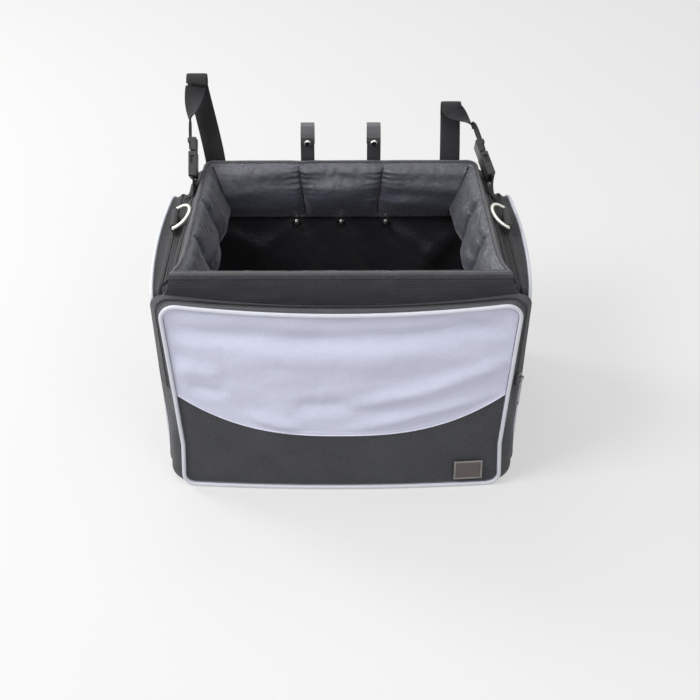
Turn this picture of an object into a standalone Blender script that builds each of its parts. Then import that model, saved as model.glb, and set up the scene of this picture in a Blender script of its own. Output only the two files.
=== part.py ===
"""Front bicycle box for a small pet: a sewn open-top tub with a padded rim, zipped pockets on three sides,
a steel rail with two handlebar hooks, two handlebar straps with side-release buckles, and two D-rings.

Metres, +Z up, front of the box towards -Y. The origin is the centre of the tub's underside.
"""

import math

import bmesh
import bpy
from mathutils import Vector

# Clearances and counts
GAP = 0.0003
RUNNING_GAP = 0.0006
OVERRUN = 0.002
ROUND_SIDES = 12
WIRE_SIDES = 8
PIPING_SIDES = 6
CORNER_STEPS = 4

# Tub
BOX_HEIGHT = 0.270
BOX_DEPTH = 0.252
WALL = 0.003
WALL_TOP = 0.262
SHOULDER_HEIGHT = 0.243
FRONT_BASE_HALF = 0.181
REAR_BASE_HALF = 0.176
FRONT_SHOULDER_HALF = 0.191
REAR_SHOULDER_HALF = 0.181
FRONT_RIM_HALF = 0.178
REAR_RIM_HALF = 0.1645
RIM_FLARE = 0.009
RIM_FLARE_DEPTH = 0.045
CORNER_RADIUS = 0.014
SIDE_SHARES = (0, 0.04, 0.08, 0.12, 0.17, 0.23, 0.45, 0.72, 1)

# Boards and lining
BASE_BOARD = 0.003
BASE_BOARD_MARGIN = 0.006
BACK_BOARD = 0.003
BACK_BOARD_HALF = 0.140
BACK_BOARD_BOTTOM = 0.020
BACK_BOARD_TOP = 0.255
LINING = 0.001

# Padded rim
PAD_TOP = 0.2675
PAD_BOTTOM = 0.197
PAD_EDGE = 0.004
PAD_TOP_THICKNESS = 0.007
PAD_CROWN = 0.012
SIDE_PAD_CROWN = 0.022
SIDE_PAD_SKEW = 0.45
PAD_CLEARANCE = 0.0008
PAD_ROWS = 7
PAD_ROW_POWER = 1.4
PAD_SEGMENTS = 3
PAD_STEPS = 6
PAD_CORNER_SHARES = (0.5, 0.8)
CHANNEL_SHARE = 0.35
CHANNEL_WIDTH_SHARE = 0.11
BINDING_ROUND = 0.002

# Zip tape for the top cover
TAPE = 0.0008
TAPE_CLEARANCE = 0.0008
TAPE_BOTTOM = 0.2555
TAPE_TOP = 0.2615

# Front pocket
POCKET_DEPTH = 0.033
POCKET_CROWN = 0.008
POCKET_SPLIT = 0.0177
POCKET_SKIN = 0.0025
POCKET_BOTTOM = 0.003
POCKET_TOP = 0.252
POCKET_FOLD = 0.132
POCKET_TOP_HALF = 0.1945
POCKET_FOLD_HALF = 0.186
POCKET_WAIST_HALF = 0.1805
POCKET_WAIST_HEIGHT = 0.060
POCKET_BOTTOM_HALF = 0.182
POCKET_TOP_RADIUS = 0.018
POCKET_BOTTOM_RADIUS = 0.013
POCKET_TOP_SAG = 0.009
POCKET_FLARE_TOP = 0.0145
POCKET_FLARE_LOW = 0.019
POCKET_DROP_CORNER = 0.0065
POCKET_DROP_CENTRE = 0.016
POCKET_COLUMNS = 16
POCKET_ROWS = 4
ARC_LOW = 0.074
ARC_POWER = 2.7
PANEL_SEAM = 0.0014
PANEL_SEAM_RISE = 0.003
PIPING_RADIUS = 0.0025

# Name patch
LABEL_X = 0.1457
LABEL_Z = 0.0245
LABEL_WIDTH = 0.0325
LABEL_HEIGHT = 0.0255
LABEL_THICKNESS = 0.0012
LABEL_STEPS = 4

# Side pockets
SIDE_POCKET_FRONT = -0.1205
SIDE_POCKET_REAR = 0.115
SIDE_POCKET_DEPTH = 0.0155
SIDE_POCKET_CROWN = 0.008
SIDE_POCKET_SPLIT = 0.0085
SIDE_POCKET_SKIN = 0.0022
SIDE_POCKET_BOTTOM = 0.004
SIDE_POCKET_TOP = 0.238
SIDE_POCKET_RISE = 0.0045
SIDE_POCKET_FOLD = 0.125
SIDE_POCKET_REAR_RADIUS = 0.032
SIDE_POCKET_FRONT_RADIUS = 0.012
SIDE_POCKET_BOTTOM_RADIUS = 0.012
SIDE_POCKET_COLUMNS = 10
SIDE_POCKET_ROWS = 3
SIDE_PIPING_RADIUS = 0.002
HINGE_MARGIN = 0.001

# Zip sliders and pulls
SLIDER_LENGTH = 0.012
SLIDER_WIDTH = 0.009
SLIDER_THICKNESS = 0.0028
SLIDER_LIFT = 0.0008
SLIDER_BEVEL = 0.0004
LUG_SIZE = 0.0036
LUG_THICKNESS = 0.0012
LUG_SPACE = 0.0042
PIN_RADIUS = 0.0007
PULL_BARREL = 0.0017
PULL_BORE = 0.0011
PULL_BARREL_WIDTH = 0.0036
PULL_LENGTH = 0.038
PULL_WIDTH = 0.0068
PULL_THICKNESS = 0.0013
PULL_NECK = 0.0035
PULL_EYE = 0.0022
FRONT_SLIDER_HEIGHT = 0.143
FRONT_SLIDER_LIFT = 0.0020
SIDE_SLIDER_HEIGHT = 0.150

# Handlebar rail, hooks and fasteners
RAIL_HALF = 0.075
RAIL_BOTTOM = 0.172
RAIL_TOP = 0.204
RAIL = 0.004
BOLT_HEIGHT = 0.188
BOLT_SPACING = 0.055
BOLT_RADIUS = 0.003
BOLT_HEAD_RADIUS = 0.005
BOLT_HEAD = 0.0035
BOLT_TAIL = 0.007
NUT_RADIUS = 0.0052
NUT = 0.0045
HOOK_X = 0.040
HOOK_WIDTH = 0.0165
HOOK_STRIP = 0.003
HOOK_BORE = 0.013
HOOK_CENTRE_HEIGHT = 0.2915
HOOK_BOTTOM = 0.176
HOOK_REAR_BOTTOM = 0.272
HOOK_LIP = 0.004
HOOK_ARC_STEPS = 10
HOOK_SCREW_HEIGHT = 0.290
HOOK_SCREW_RADIUS = 0.0028
HOOK_SCREW_HEAD_RADIUS = 0.0042
HOOK_SCREW_HEAD = 0.0022

# Handlebar straps, as they lie round the bar
WEBBING_WIDTH = 0.024
WEBBING = 0.0016
STRAP_LOOP_RADIUS = 0.0135
BAR_DEPTH = 0.165
RIGHT_BAR_X = 0.134
RIGHT_BAR_HEIGHT = 0.312
LEFT_BAR_X = 0.172
LEFT_BAR_HEIGHT = 0.350
RIGHT_FOOT_X = 0.132
LEFT_FOOT_X = 0.152
FOOT_BOTTOM = 0.215
STRAP_ARC_STEPS = 9
STRAP_LEG_STEPS = 5

# Buckles: the middle of each socket's foot and of each plug's far end
RIGHT_SOCKET = (0.179, 0.0876, 0.2655)
RIGHT_PLUG_END = (0.1635, 0.124, 0.296)
LEFT_SOCKET = (-0.175, 0.0835, 0.2695)
LEFT_PLUG_END = (-0.175, 0.1115, 0.307)
SOCKET_LENGTH = 0.030
SOCKET_WIDTH = 0.031
SOCKET_THICKNESS = 0.0095
CAVITY_DEPTH = 0.018
CAVITY_WIDTH = 0.0255
CAVITY_THICKNESS = 0.0056
WINDOW_LENGTH = 0.010
WINDOW_THICKNESS = 0.0044
WINDOW_FROM_MOUTH = 0.005
PLUG_LENGTH = 0.0165
PLUG_WIDTH = 0.029
PLUG_BACK = 0.0042
PLUG_SADDLE = 0.0025
KEEPER_LENGTH = 0.006
KEEPER_TOP = 0.0057
PRONG_LENGTH = 0.015
PRONG_WIDTH = 0.004
PRONG_THICKNESS = 0.0042
GUIDE_LENGTH = 0.011
PLUG_TRAVEL = 0.016
STRAP_END = 0.003
BUCKLE_BEVEL = 0.0012
ANCHOR_FOOT_Y = 0.066
ANCHOR_FOOT_Z = 0.2525
ANCHOR_LEAD = 0.006
ANCHOR_CLEARANCE = 0.0022

# D-rings and their tabs
RING_Y = 0.015
RING_X = 0.1925
RING_Z = 0.2535
RING_HALF = 0.0212
RING_REACH = 0.0215
RING_SHOULDER = 0.005
RING_LEAN = math.radians(146)
RING_BOW_STEPS = 9
WIRE_RADIUS = 0.002
TAB_WIDTH = 0.037
TAB_PLY = 0.0015
TAB_FOOT_HALF = 0.0022
TAB_FOOT_INSET = 0.0018

# Derived places
FRONT_Y = -BOX_DEPTH / 2
BACK_Y = BOX_DEPTH / 2
REAR_CORNER_Y = BACK_Y - CORNER_RADIUS
SIDE_INSET = WALL + GAP + LINING + GAP
BACK_INSET = SIDE_INSET + BACK_BOARD + GAP
RAIL_FRONT_Y = BACK_Y + GAP
RAIL_BACK_Y = RAIL_FRONT_Y + RAIL
HOOK_LEG_Y = RAIL_BACK_Y + GAP + HOOK_STRIP / 2
HOOK_CENTRE_Y = HOOK_LEG_Y + HOOK_STRIP / 2 + HOOK_BORE
FLOOR_TOP = WALL + GAP + BASE_BOARD + GAP

# Colours, roughness and metallic value of each material
FINISHES = {
    "black_polyester": ((0.030, 0.030, 0.034), 0.85, 0.0),
    "lining_cloth": ((0.010, 0.010, 0.011), 0.80, 0.0),
    "quilted_nylon": ((0.075, 0.074, 0.085), 0.50, 0.0),
    "grey_nylon": ((0.560, 0.570, 0.690), 0.60, 0.0),
    "reflective_piping": ((0.640, 0.670, 0.760), 0.40, 0.0),
    "webbing": ((0.020, 0.020, 0.022), 0.80, 0.0),
    "black_plastic": ((0.035, 0.035, 0.038), 0.45, 0.0),
    "board": ((0.090, 0.090, 0.090), 0.70, 0.0),
    "black_steel": ((0.050, 0.050, 0.052), 0.45, 0.6),
    "grey_hook": ((0.100, 0.100, 0.105), 0.40, 0.5),
    "bright_zinc": ((0.700, 0.700, 0.690), 0.25, 1.0),
    "nickel": ((0.780, 0.760, 0.700), 0.18, 1.0),
    "label_rubber": ((0.120, 0.110, 0.105), 0.60, 0.0),
}


def clear_scene():
    for item in list(bpy.data.objects):
        bpy.data.objects.remove(item)


def mix(low, high, share):
    return low + (high - low) * share


def shares(count):
    """count + 1 even shares from 0 to 1."""
    return [step / count for step in range(count + 1)]


def side_weighted(count):
    """count + 1 shares from 0 to 1, closer together at both ends."""
    return [(1 - math.cos(math.pi * share)) / 2 for share in shares(count)]


# Making of objects

def material(finish):
    found = bpy.data.materials.get(finish)
    if found:
        return found
    colour, roughness, metallic = FINISHES[finish]
    made = bpy.data.materials.new(finish)
    made.use_nodes = True
    shader = made.node_tree.nodes["Principled BSDF"]
    shader.inputs["Base Color"].default_value = (*colour, 1.0)
    shader.inputs["Roughness"].default_value = roughness
    shader.inputs["Metallic"].default_value = metallic
    return made


def add_body(name, points, faces, finish, origin=(0.0, 0.0, 0.0), smooth=False):
    """One closed body from world points, with its object's origin at the given place."""
    origin = Vector(origin)
    mesh = bpy.data.meshes.new(name)
    mesh.from_pydata([Vector(point) - origin for point in points], [], faces)
    work = bmesh.new()
    work.from_mesh(mesh)
    bmesh.ops.recalc_face_normals(work, faces=work.faces)
    bmesh.ops.triangulate(work, faces=work.faces, quad_method="SHORT_EDGE")
    work.to_mesh(mesh)
    work.free()
    mesh.materials.append(material(finish))
    if smooth:
        mesh.shade_smooth()
        mesh.set_sharp_from_angle(angle=math.radians(40))
    body = bpy.data.objects.new(name, mesh)
    body.location = origin
    bpy.context.scene.collection.objects.link(body)
    return body


def skin_rings(name, rings, finish, looped=False, **options):
    """Skins closed rings of equally many points. Looped joins the last ring to the first, or both ends are capped."""
    count = len(rings[0])
    points = [point for ring in rings for point in ring]
    faces = []
    for index in range(len(rings) if looped else len(rings) - 1):
        here = index * count
        after = (index + 1) % len(rings) * count
        for k in range(count):
            nearby = (k + 1) % count
            faces.append((here + k, here + nearby, after + nearby, after + k))
    if not looped:
        faces.append(tuple(range(count)))
        faces.append(tuple(range(len(points) - count, len(points))))
    return add_body(name, points, faces, finish, **options)


def skin_sheets(name, outer, inner, finish, **options):
    """Closes two grids of the same size into one slab."""
    rows = len(outer)
    columns = len(outer[0])
    points = [point for row in outer for point in row]
    shift = len(points)
    points += [point for row in inner for point in row]
    faces = []
    for row in range(rows - 1):
        for column in range(columns - 1):
            corner = row * columns + column
            face = (corner, corner + 1, corner + columns + 1, corner + columns)
            faces.append(face)
            faces.append(tuple(shift + index for index in face))
    edge = [column for column in range(columns)]
    edge += [row * columns + columns - 1 for row in range(1, rows)]
    edge += [(rows - 1) * columns + column for column in range(columns - 2, -1, -1)]
    edge += [row * columns for row in range(rows - 2, 0, -1)]
    for index, here in enumerate(edge):
        after = edge[(index + 1) % len(edge)]
        faces.append((here, after, shift + after, shift + here))
    return add_body(name, points, faces, finish, **options)


def slab_along_y(name, outline, low, high, finish, **options):
    """An outline of (x, z) points, from y = low to y = high."""
    rings = [[(x, y, z) for x, z in outline] for y in (low, high)]
    return skin_rings(name, rings, finish, **options)


def turned(name, centre, profile, finish, bored=False, **options):
    """Turns (radius, y) pairs about the line along Y through centre (x, z)."""
    x, z = centre
    rings = []
    for radius, y in profile:
        ring = []
        for step in range(ROUND_SIDES):
            angle = math.tau * step / ROUND_SIDES
            ring.append((x + radius * math.cos(angle), y, z + radius * math.sin(angle)))
        rings.append(ring)
    return skin_rings(name, rings, finish, looped=bored, smooth=True, **options)


def ribbon_rings(stations, width, thickness):
    """Rectangular rings along (place, width direction) stations."""
    rings = []
    for index, (place, across) in enumerate(stations):
        before = stations[max(index - 1, 0)][0]
        after = stations[min(index + 1, len(stations) - 1)][0]
        along = (after - before).normalized()
        across = (across - along * across.dot(along)).normalized()
        out = along.cross(across)
        side = across * width / 2
        lift = out * thickness / 2
        rings.append([place + side + lift, place - side + lift, place - side - lift, place + side - lift])
    return rings


def ribbon(name, stations, width, thickness, finish, **options):
    return skin_rings(name, ribbon_rings(stations, width, thickness), finish, **options)


def tube(name, path, radius, sides, finish, looped=False, **options):
    """A round tube along a path. An open one has flat ends."""
    count = len(path)
    rings = []
    across = None
    for index, place in enumerate(path):
        before = path[(index - 1) % count] if looped else path[max(index - 1, 0)]
        after = path[(index + 1) % count] if looped else path[min(index + 1, count - 1)]
        along = (after - before).normalized()
        if across is None:
            across = along.orthogonal().normalized()
        across = (across - along * across.dot(along)).normalized()
        out = along.cross(across)
        ring = []
        for step in range(sides):
            angle = math.tau * step / sides
            ring.append(place + across * radius * math.cos(angle) + out * radius * math.sin(angle))
        rings.append(ring)
    return skin_rings(name, rings, finish, looped=looped, smooth=True, **options)


def block_in(frame, low, high):
    """Corners and faces of a block between two corners of a (origin, first, second, third) frame."""
    origin, *axes = frame
    points = []
    for u in (low[0], high[0]):
        for v in (low[1], high[1]):
            for w in (low[2], high[2]):
                points.append(origin + axes[0] * u + axes[1] * v + axes[2] * w)
    faces = [(0, 1, 3, 2), (4, 6, 7, 5), (0, 4, 5, 1), (2, 3, 7, 6), (0, 2, 6, 4), (1, 5, 7, 3)]
    return points, faces


def add_block(name, frame, low, high, finish, **options):
    points, faces = block_in(frame, low, high)
    return add_body(name, points, faces, finish, **options)


def bevel(body, width):
    rounding = body.modifiers.new("rounding", "BEVEL")
    rounding.width = width
    rounding.segments = 1
    rounding.limit_method = "ANGLE"


def combine(body, tool, operation):
    """Cuts the tool from the body, or joins it on, and hides the tool."""
    step = body.modifiers.new(tool.name, "BOOLEAN")
    step.operation = operation
    step.object = tool
    tool.hide_render = True
    tool.display_type = "WIRE"


# Tub

def side_half(y, z):
    """Half width of the tub's outer face at this depth and height."""
    share = (y - FRONT_Y) / BOX_DEPTH
    base = mix(FRONT_BASE_HALF, REAR_BASE_HALF, share)
    shoulder = mix(FRONT_SHOULDER_HALF, REAR_SHOULDER_HALF, share)
    flare = RIM_FLARE * max(0, 1 - (y - FRONT_Y) / RIM_FLARE_DEPTH) ** 2
    rim = mix(FRONT_RIM_HALF, REAR_RIM_HALF, share) + flare
    if z <= SHOULDER_HEIGHT:
        return mix(base, shoulder, z / SHOULDER_HEIGHT)
    return mix(shoulder, rim, min(1, (z - SHOULDER_HEIGHT) / (WALL_TOP - SHOULDER_HEIGHT)))


def side_line(z, inset, rear_inset, front_y):
    """The right wall's line from the front to the end of the rear corner, inset from the outer face."""
    line = []
    for share in SIDE_SHARES:
        y = mix(front_y, REAR_CORNER_Y, share)
        line.append((side_half(y, z) - inset, y))
    centre = side_half(REAR_CORNER_Y, z) - CORNER_RADIUS
    for share in shares(CORNER_STEPS)[1:]:
        angle = math.pi / 2 * share
        x = centre + (CORNER_RADIUS - inset) * math.cos(angle)
        line.append((x, REAR_CORNER_Y + (CORNER_RADIUS - rear_inset) * math.sin(angle)))
    return line


def plan_loop(z, inset, rear_inset, front_inset):
    """The tub's closed outline in plan at this height."""
    right = side_line(z, inset, rear_inset, FRONT_Y + front_inset)
    left = [(-x, y) for x, y in reversed(right)]
    return [(x, y, z) for x, y in right + left]


def side_sheet(sign, heights, inset):
    front = FRONT_Y + WALL + GAP
    return [[(sign * x, y, z) for x, y in side_line(z, inset, inset, front)] for z in heights]


def build_tub():
    heights = (WALL + GAP, SHOULDER_HEIGHT, WALL_TOP)
    for side, sign in (("right", 1), ("left", -1)):
        outer = side_sheet(sign, heights, 0)
        inner = side_sheet(sign, heights, WALL)
        skin_sheets("side_panel_" + side, outer, inner, "black_polyester")
    build_front_panel()
    build_back_panel()
    half = FRONT_BASE_HALF
    rear = REAR_BASE_HALF
    outline = [(half, FRONT_Y), (rear, REAR_CORNER_Y), (rear - CORNER_RADIUS, BACK_Y)]
    outline += [(-x, y) for x, y in reversed(outline)]
    rings = [[(x, y, z) for x, y in outline] for z in (0, WALL)]
    skin_rings("base_panel", rings, "black_polyester")


def build_front_panel():
    """The wall behind the front pocket. It is as wide as the pocket's rear seam, and narrows to the rim."""
    low = WALL + GAP
    right = [(pocket_half(low) - POCKET_BOTTOM_RADIUS + POCKET_FLARE_LOW, low)]
    for z in (POCKET_BOTTOM + POCKET_BOTTOM_RADIUS, POCKET_WAIST_HEIGHT, POCKET_FOLD):
        right.append((pocket_half(z) + POCKET_FLARE_LOW, z))
    right.append((POCKET_TOP_HALF + POCKET_FLARE_TOP, POCKET_TOP - POCKET_TOP_RADIUS - POCKET_DROP_CORNER))
    right.append((POCKET_TOP_HALF + POCKET_FLARE_TOP - POCKET_TOP_RADIUS, POCKET_TOP - POCKET_DROP_CORNER))
    right.append((side_half(FRONT_Y, WALL_TOP), WALL_TOP))
    outline = right + [(-x, z) for x, z in reversed(right)]
    slab_along_y("front_panel", outline, FRONT_Y, FRONT_Y + WALL, "black_polyester")


def build_back_panel():
    right = []
    for z in (WALL + GAP, SHOULDER_HEIGHT, WALL_TOP):
        right.append((side_half(REAR_CORNER_Y, z) - CORNER_RADIUS - GAP, z))
    outline = right + [(-x, z) for x, z in reversed(right)]
    panel = slab_along_y("back_panel", outline, BACK_Y - WALL, BACK_Y, "black_polyester")
    combine(panel, bolt_cutter("back_panel_bolt_holes"), "DIFFERENCE")


def bolt_cutter(name):
    """Three rods where the rail's bolts pass, joined by a bar behind everything that they cut."""
    radius = BOLT_RADIUS + GAP
    far = BACK_Y - BACK_INSET - BOLT_TAIL - OVERRUN
    near = RAIL_BACK_Y + OVERRUN
    points = []
    faces = []
    for x in bolt_places():
        start = len(points)
        for y in (far, near):
            for step in range(ROUND_SIDES):
                angle = math.tau * step / ROUND_SIDES
                points.append((x + radius * math.cos(angle), y, BOLT_HEIGHT + radius * math.sin(angle)))
        ring = range(ROUND_SIDES)
        faces.append(tuple(start + k for k in ring))
        faces.append(tuple(start + ROUND_SIDES + k for k in ring))
        for k in ring:
            nearby = (k + 1) % ROUND_SIDES
            face = (k, nearby, ROUND_SIDES + nearby, ROUND_SIDES + k)
            faces.append(tuple(start + index for index in face))
    return add_body(name, points, faces, "board")


def bolt_places():
    return (-BOLT_SPACING, 0, BOLT_SPACING)


def build_boards():
    rear = BACK_Y - BACK_INSET - BASE_BOARD_MARGIN
    front = FRONT_Y + SIDE_INSET + BASE_BOARD_MARGIN
    wide = side_half(front, 0) - SIDE_INSET - BASE_BOARD_MARGIN
    narrow = side_half(rear, 0) - SIDE_INSET - BASE_BOARD_MARGIN
    outline = [(wide, front), (narrow, rear), (-narrow, rear), (-wide, front)]
    rings = [[(x, y, z) for x, y in outline] for z in (WALL + GAP, WALL + GAP + BASE_BOARD)]
    skin_rings("base_board", rings, "board")
    half = BACK_BOARD_HALF
    low, high = BACK_BOARD_BOTTOM, BACK_BOARD_TOP
    corners = [(half, low), (half, high), (-half, high), (-half, low)]
    high = BACK_Y - WALL - GAP
    board = slab_along_y("back_board", corners, high - BACK_BOARD, high, "board")
    combine(board, bolt_cutter("back_board_bolt_holes"), "DIFFERENCE")


def build_lining():
    side = WALL + GAP
    back = side + BACK_BOARD + GAP
    rings = [plan_loop(z, side, back, side) for z in (FLOOR_TOP, SHOULDER_HEIGHT, WALL_TOP)]
    side += LINING
    back += LINING
    rings += [plan_loop(z, side, back, side) for z in (WALL_TOP, SHOULDER_HEIGHT, FLOOR_TOP + LINING)]
    lining = skin_rings("inner_lining", rings, "lining_cloth")
    combine(lining, bolt_cutter("lining_bolt_holes"), "DIFFERENCE")


# Padded rim

def channel(share):
    """Fullness of a pad along its length: 1 between the sewn channels, and least at each."""
    seams = [step / PAD_SEGMENTS for step in range(1, PAD_SEGMENTS)]
    nearest = min(abs(share - seam) for seam in seams)
    return mix(CHANNEL_SHARE, 1, math.sqrt(min(1, nearest / CHANNEL_WIDTH_SHARE)))


def pad_rows():
    """Shares of a pad's height, closer together near its round lower edge."""
    return [share**PAD_ROW_POWER for share in shares(PAD_ROWS)]


def pad_depth(row_share, crown, skew, fullness):
    """How far the pad's face stands off the lining at this share of its height."""
    swell = math.sin(math.pi * row_share**skew)
    return mix(PAD_EDGE, PAD_TOP_THICKNESS, row_share) + crown * swell * fullness


def side_pad_face(y, row_share, fullness):
    """Half width between the side pads at this depth."""
    depth = pad_depth(row_share, SIDE_PAD_CROWN, SIDE_PAD_SKEW, fullness)
    return side_half(y, WALL_TOP) - SIDE_INSET - depth


def side_pad_back(y, z):
    """Half width of the lining behind a side pad, and round the rear corner."""
    half = side_half(min(y, REAR_CORNER_Y), z) - SIDE_INSET
    past = max(0, y - REAR_CORNER_Y) / (CORNER_RADIUS - BACK_INSET)
    return half - (CORNER_RADIUS - SIDE_INSET) * (1 - math.sqrt(1 - past**2)) - PAD_CLEARANCE


def build_side_pad(side, sign):
    front = FRONT_Y + SIDE_INSET + PAD_CLEARANCE
    along = shares(PAD_SEGMENTS * PAD_STEPS)
    stations = [(mix(front, REAR_CORNER_Y, share), channel(share)) for share in along]
    for share in PAD_CORNER_SHARES:
        stations.append((REAR_CORNER_Y + (CORNER_RADIUS - BACK_INSET) * share, 1))
    rings = []
    for y, fullness in stations:
        ring = []
        for row in pad_rows():
            ring.append((sign * side_pad_face(y, row, fullness), y, mix(PAD_BOTTOM, PAD_TOP, row)))
        ring.append((sign * side_pad_back(y, WALL_TOP), y, PAD_TOP))
        ring.append((sign * side_pad_back(y, WALL_TOP), y, WALL_TOP))
        ring.append((sign * side_pad_back(y, SHOULDER_HEIGHT), y, SHOULDER_HEIGHT))
        ring.append((sign * side_pad_back(y, PAD_BOTTOM), y, PAD_BOTTOM))
        rings.append(ring)
    skin_rings("rim_pad_" + side, rings, "quilted_nylon", smooth=True)


def build_end_pad(name, wall_y, inward):
    """The front or back pad, between the side pads' faces. inward is the sign of y towards the middle."""
    face, back = [], []
    for row in pad_rows():
        face_row, back_row = [], []
        z = mix(PAD_BOTTOM, PAD_TOP, row)
        for share in shares(PAD_SEGMENTS * PAD_STEPS):
            y = wall_y + inward * pad_depth(row, PAD_CROWN, 1, channel(share))
            for points, at in ((face_row, y), (back_row, wall_y)):
                reach = side_pad_face(at, row, 1) - PAD_CLEARANCE
                points.append((mix(-reach, reach, share), at, z))
        face.append(face_row)
        back.append(back_row)
    skin_sheets(name, face, back, "quilted_nylon", smooth=True)


def build_rim():
    build_side_pad("right", 1)
    build_side_pad("left", -1)
    build_end_pad("rim_pad_back", BACK_Y - BACK_INSET - PAD_CLEARANCE, -1)
    build_end_pad("rim_pad_front", FRONT_Y + SIDE_INSET + PAD_CLEARANCE, 1)
    low = WALL_TOP + GAP
    inner = WALL + LINING + GAP
    rear = inner + BACK_BOARD + GAP
    section = [(0, 0, low), (0, 0, PAD_TOP), (BINDING_ROUND, BINDING_ROUND, BOX_HEIGHT)]
    section.append((inner - BINDING_ROUND / 2, rear - BINDING_ROUND / 2, BOX_HEIGHT))
    section += [(inner, rear, PAD_TOP), (inner, rear, low)]
    rings = []
    for inset, rear_inset, z in section:
        rings.append([(x, y, z) for x, y, _ in plan_loop(z, inset, rear_inset, inset)])
    skin_rings("rim_binding", rings, "quilted_nylon", looped=True)
    build_cover_tape()


def build_cover_tape():
    """Half a zip for a top cover: from one front corner round the back to the other."""
    sheets = []
    for out in (TAPE_CLEARANCE + TAPE, TAPE_CLEARANCE):
        rows = []
        for z in (TAPE_BOTTOM, TAPE_TOP):
            right = side_line(z, -out, -out, FRONT_Y + WALL)
            left = [(-x, y) for x, y in reversed(right)]
            rows.append([(x, y, z) for x, y in right + left])
        sheets.append(rows)
    skin_sheets("cover_zip_tape", sheets[0], sheets[1], "webbing")


# Pockets

class Pocket:
    """A zipped pocket on a wall. a runs along the wall, z is up, and c is the distance off the wall."""

    def __init__(self, place, edge, flare, warp, depth, crown, skin, columns):
        self.place = place
        self.edge = edge
        self.flare = flare
        self.warp = warp
        self.depth = depth
        self.crown = crown
        self.skin = skin
        self.columns = columns

    def across(self, a, z):
        """-1 at the low side of the face, 0 at its middle and 1 at its high side."""
        low, high = self.edge(z)
        return (2 * a - low - high) / (high - low)

    def face_c(self, a, z):
        """How far the crowned face stands off the wall."""
        return self.depth + self.crown * (1 - self.across(a, z) ** 2)

    def at_back(self, a, z, c):
        """A point of the gusset, which widens towards the wall."""
        share = 1 - c / self.depth
        out, up = self.flare(self.across(a, z), z)
        return self.place(a + out * share, z + up * share, c)


def outline_rows(edge, z_open, z_closed, radii, steps):
    """Rows of (z, low end, high end) from a half's open edge to its closed edge, with round corners."""
    toward = 1 if z_closed > z_open else -1
    largest = max(radii)
    straight = z_closed - toward * largest
    rows = [mix(z_open, straight, share) for share in shares(steps)]
    for share in shares(CORNER_STEPS)[1:]:
        rows.append(z_closed - toward * largest * (1 - math.sin(math.pi / 2 * share)))
    made = []
    for z in rows:
        low, high = edge(z)
        left = abs(z_closed - z)
        insets = []
        for radius in radii:
            missing = max(0, radius - left)
            insets.append(radius - math.sqrt(max(0, radius**2 - missing**2)))
        made.append((z, low + insets[0], high - insets[1]))
    return made


def rim_of(grid):
    """A grid's points down its first column, along its last row and up its last column."""
    first = [row[0] for row in grid]
    last = [row[-1] for row in grid]
    return first + grid[-1][1:-1] + last[::-1]


def dish(name, pocket, rows, back_c, finish, **options):
    """Half a pocket in one skin: its crowned face and the gusset back to back_c, open at the first row."""
    skin = pocket.skin
    z_open = rows[0][0]
    squeeze = 1 - skin / abs(rows[-1][0] - z_open)
    outer, inner, outer_back, inner_back = [], [], [], []
    for z, low, high in rows:
        faces_row, inner_row, back_row, inner_back_row = [], [], [], []
        middle = (low + high) / 2
        for share in pocket.columns:
            a = mix(low, high, share)
            c = pocket.face_c(a, z)
            lifted = pocket.warp(a, z)
            faces_row.append(pocket.place(a, lifted, c))
            back_row.append(pocket.at_back(a, lifted, back_c))
            inner_a = middle + (a - middle) * (1 - skin / ((high - low) / 2))
            inner_z = mix(pocket.warp(a, z_open), lifted, squeeze)
            inner_row.append(pocket.place(inner_a, inner_z, c - skin))
            inner_back_row.append(pocket.at_back(inner_a, inner_z, back_c))
        outer.append(faces_row)
        inner.append(inner_row)
        outer_back.append(back_row)
        inner_back.append(inner_back_row)
    return skin_dish(name, outer, inner, rim_of(outer_back), rim_of(inner_back), finish, **options)


def skin_dish(name, outer, inner, outer_back, inner_back, finish, **options):
    rows, columns = len(outer), len(outer[0])
    points = [point for row in outer for point in row] + [point for row in inner for point in row]
    shift = rows * columns
    faces = []
    for row in range(rows - 1):
        for column in range(columns - 1):
            corner = row * columns + column
            face = (corner, corner + 1, corner + columns + 1, corner + columns)
            faces.append(face)
            faces.append(tuple(shift + index for index in face))
    edge = rim_of([[row * columns + column for column in range(columns)] for row in range(rows)])
    out_start = len(points)
    points += outer_back
    in_start = len(points)
    points += inner_back
    for k in range(len(edge) - 1):
        faces.append((edge[k], edge[k + 1], out_start + k + 1, out_start + k))
        faces.append((shift + edge[k], shift + edge[k + 1], in_start + k + 1, in_start + k))
        faces.append((out_start + k, out_start + k + 1, in_start + k + 1, in_start + k))
    for column in range(columns - 1):
        faces.append((column, column + 1, shift + column + 1, shift + column))
    for k in (0, len(edge) - 1):
        faces.append((edge[k], out_start + k, in_start + k, shift + edge[k]))
    return add_body(name, points, faces, finish, **options)


def gusset_band(name, pocket, rows, near_c, far_c, finish):
    """The strip of gusset behind the zip, along the same edge as the dish in front of it."""
    skin = pocket.skin
    z_open = rows[0][0]
    squeeze = 1 - skin / abs(rows[-1][0] - z_open)
    grid = []
    for z, low, high in rows:
        row = []
        middle = (low + high) / 2
        for share in pocket.columns:
            a = mix(low, high, share)
            lifted = pocket.warp(a, z)
            inner_a = middle + (a - middle) * (1 - skin / ((high - low) / 2))
            inner_z = mix(pocket.warp(a, z_open), lifted, squeeze)
            ring = [pocket.at_back(a, lifted, c) for c in (near_c, far_c)]
            ring += [pocket.at_back(inner_a, inner_z, c) for c in (far_c, near_c)]
            row.append(ring)
        grid.append(row)
    return skin_rings(name, rim_of(grid), finish)


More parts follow.
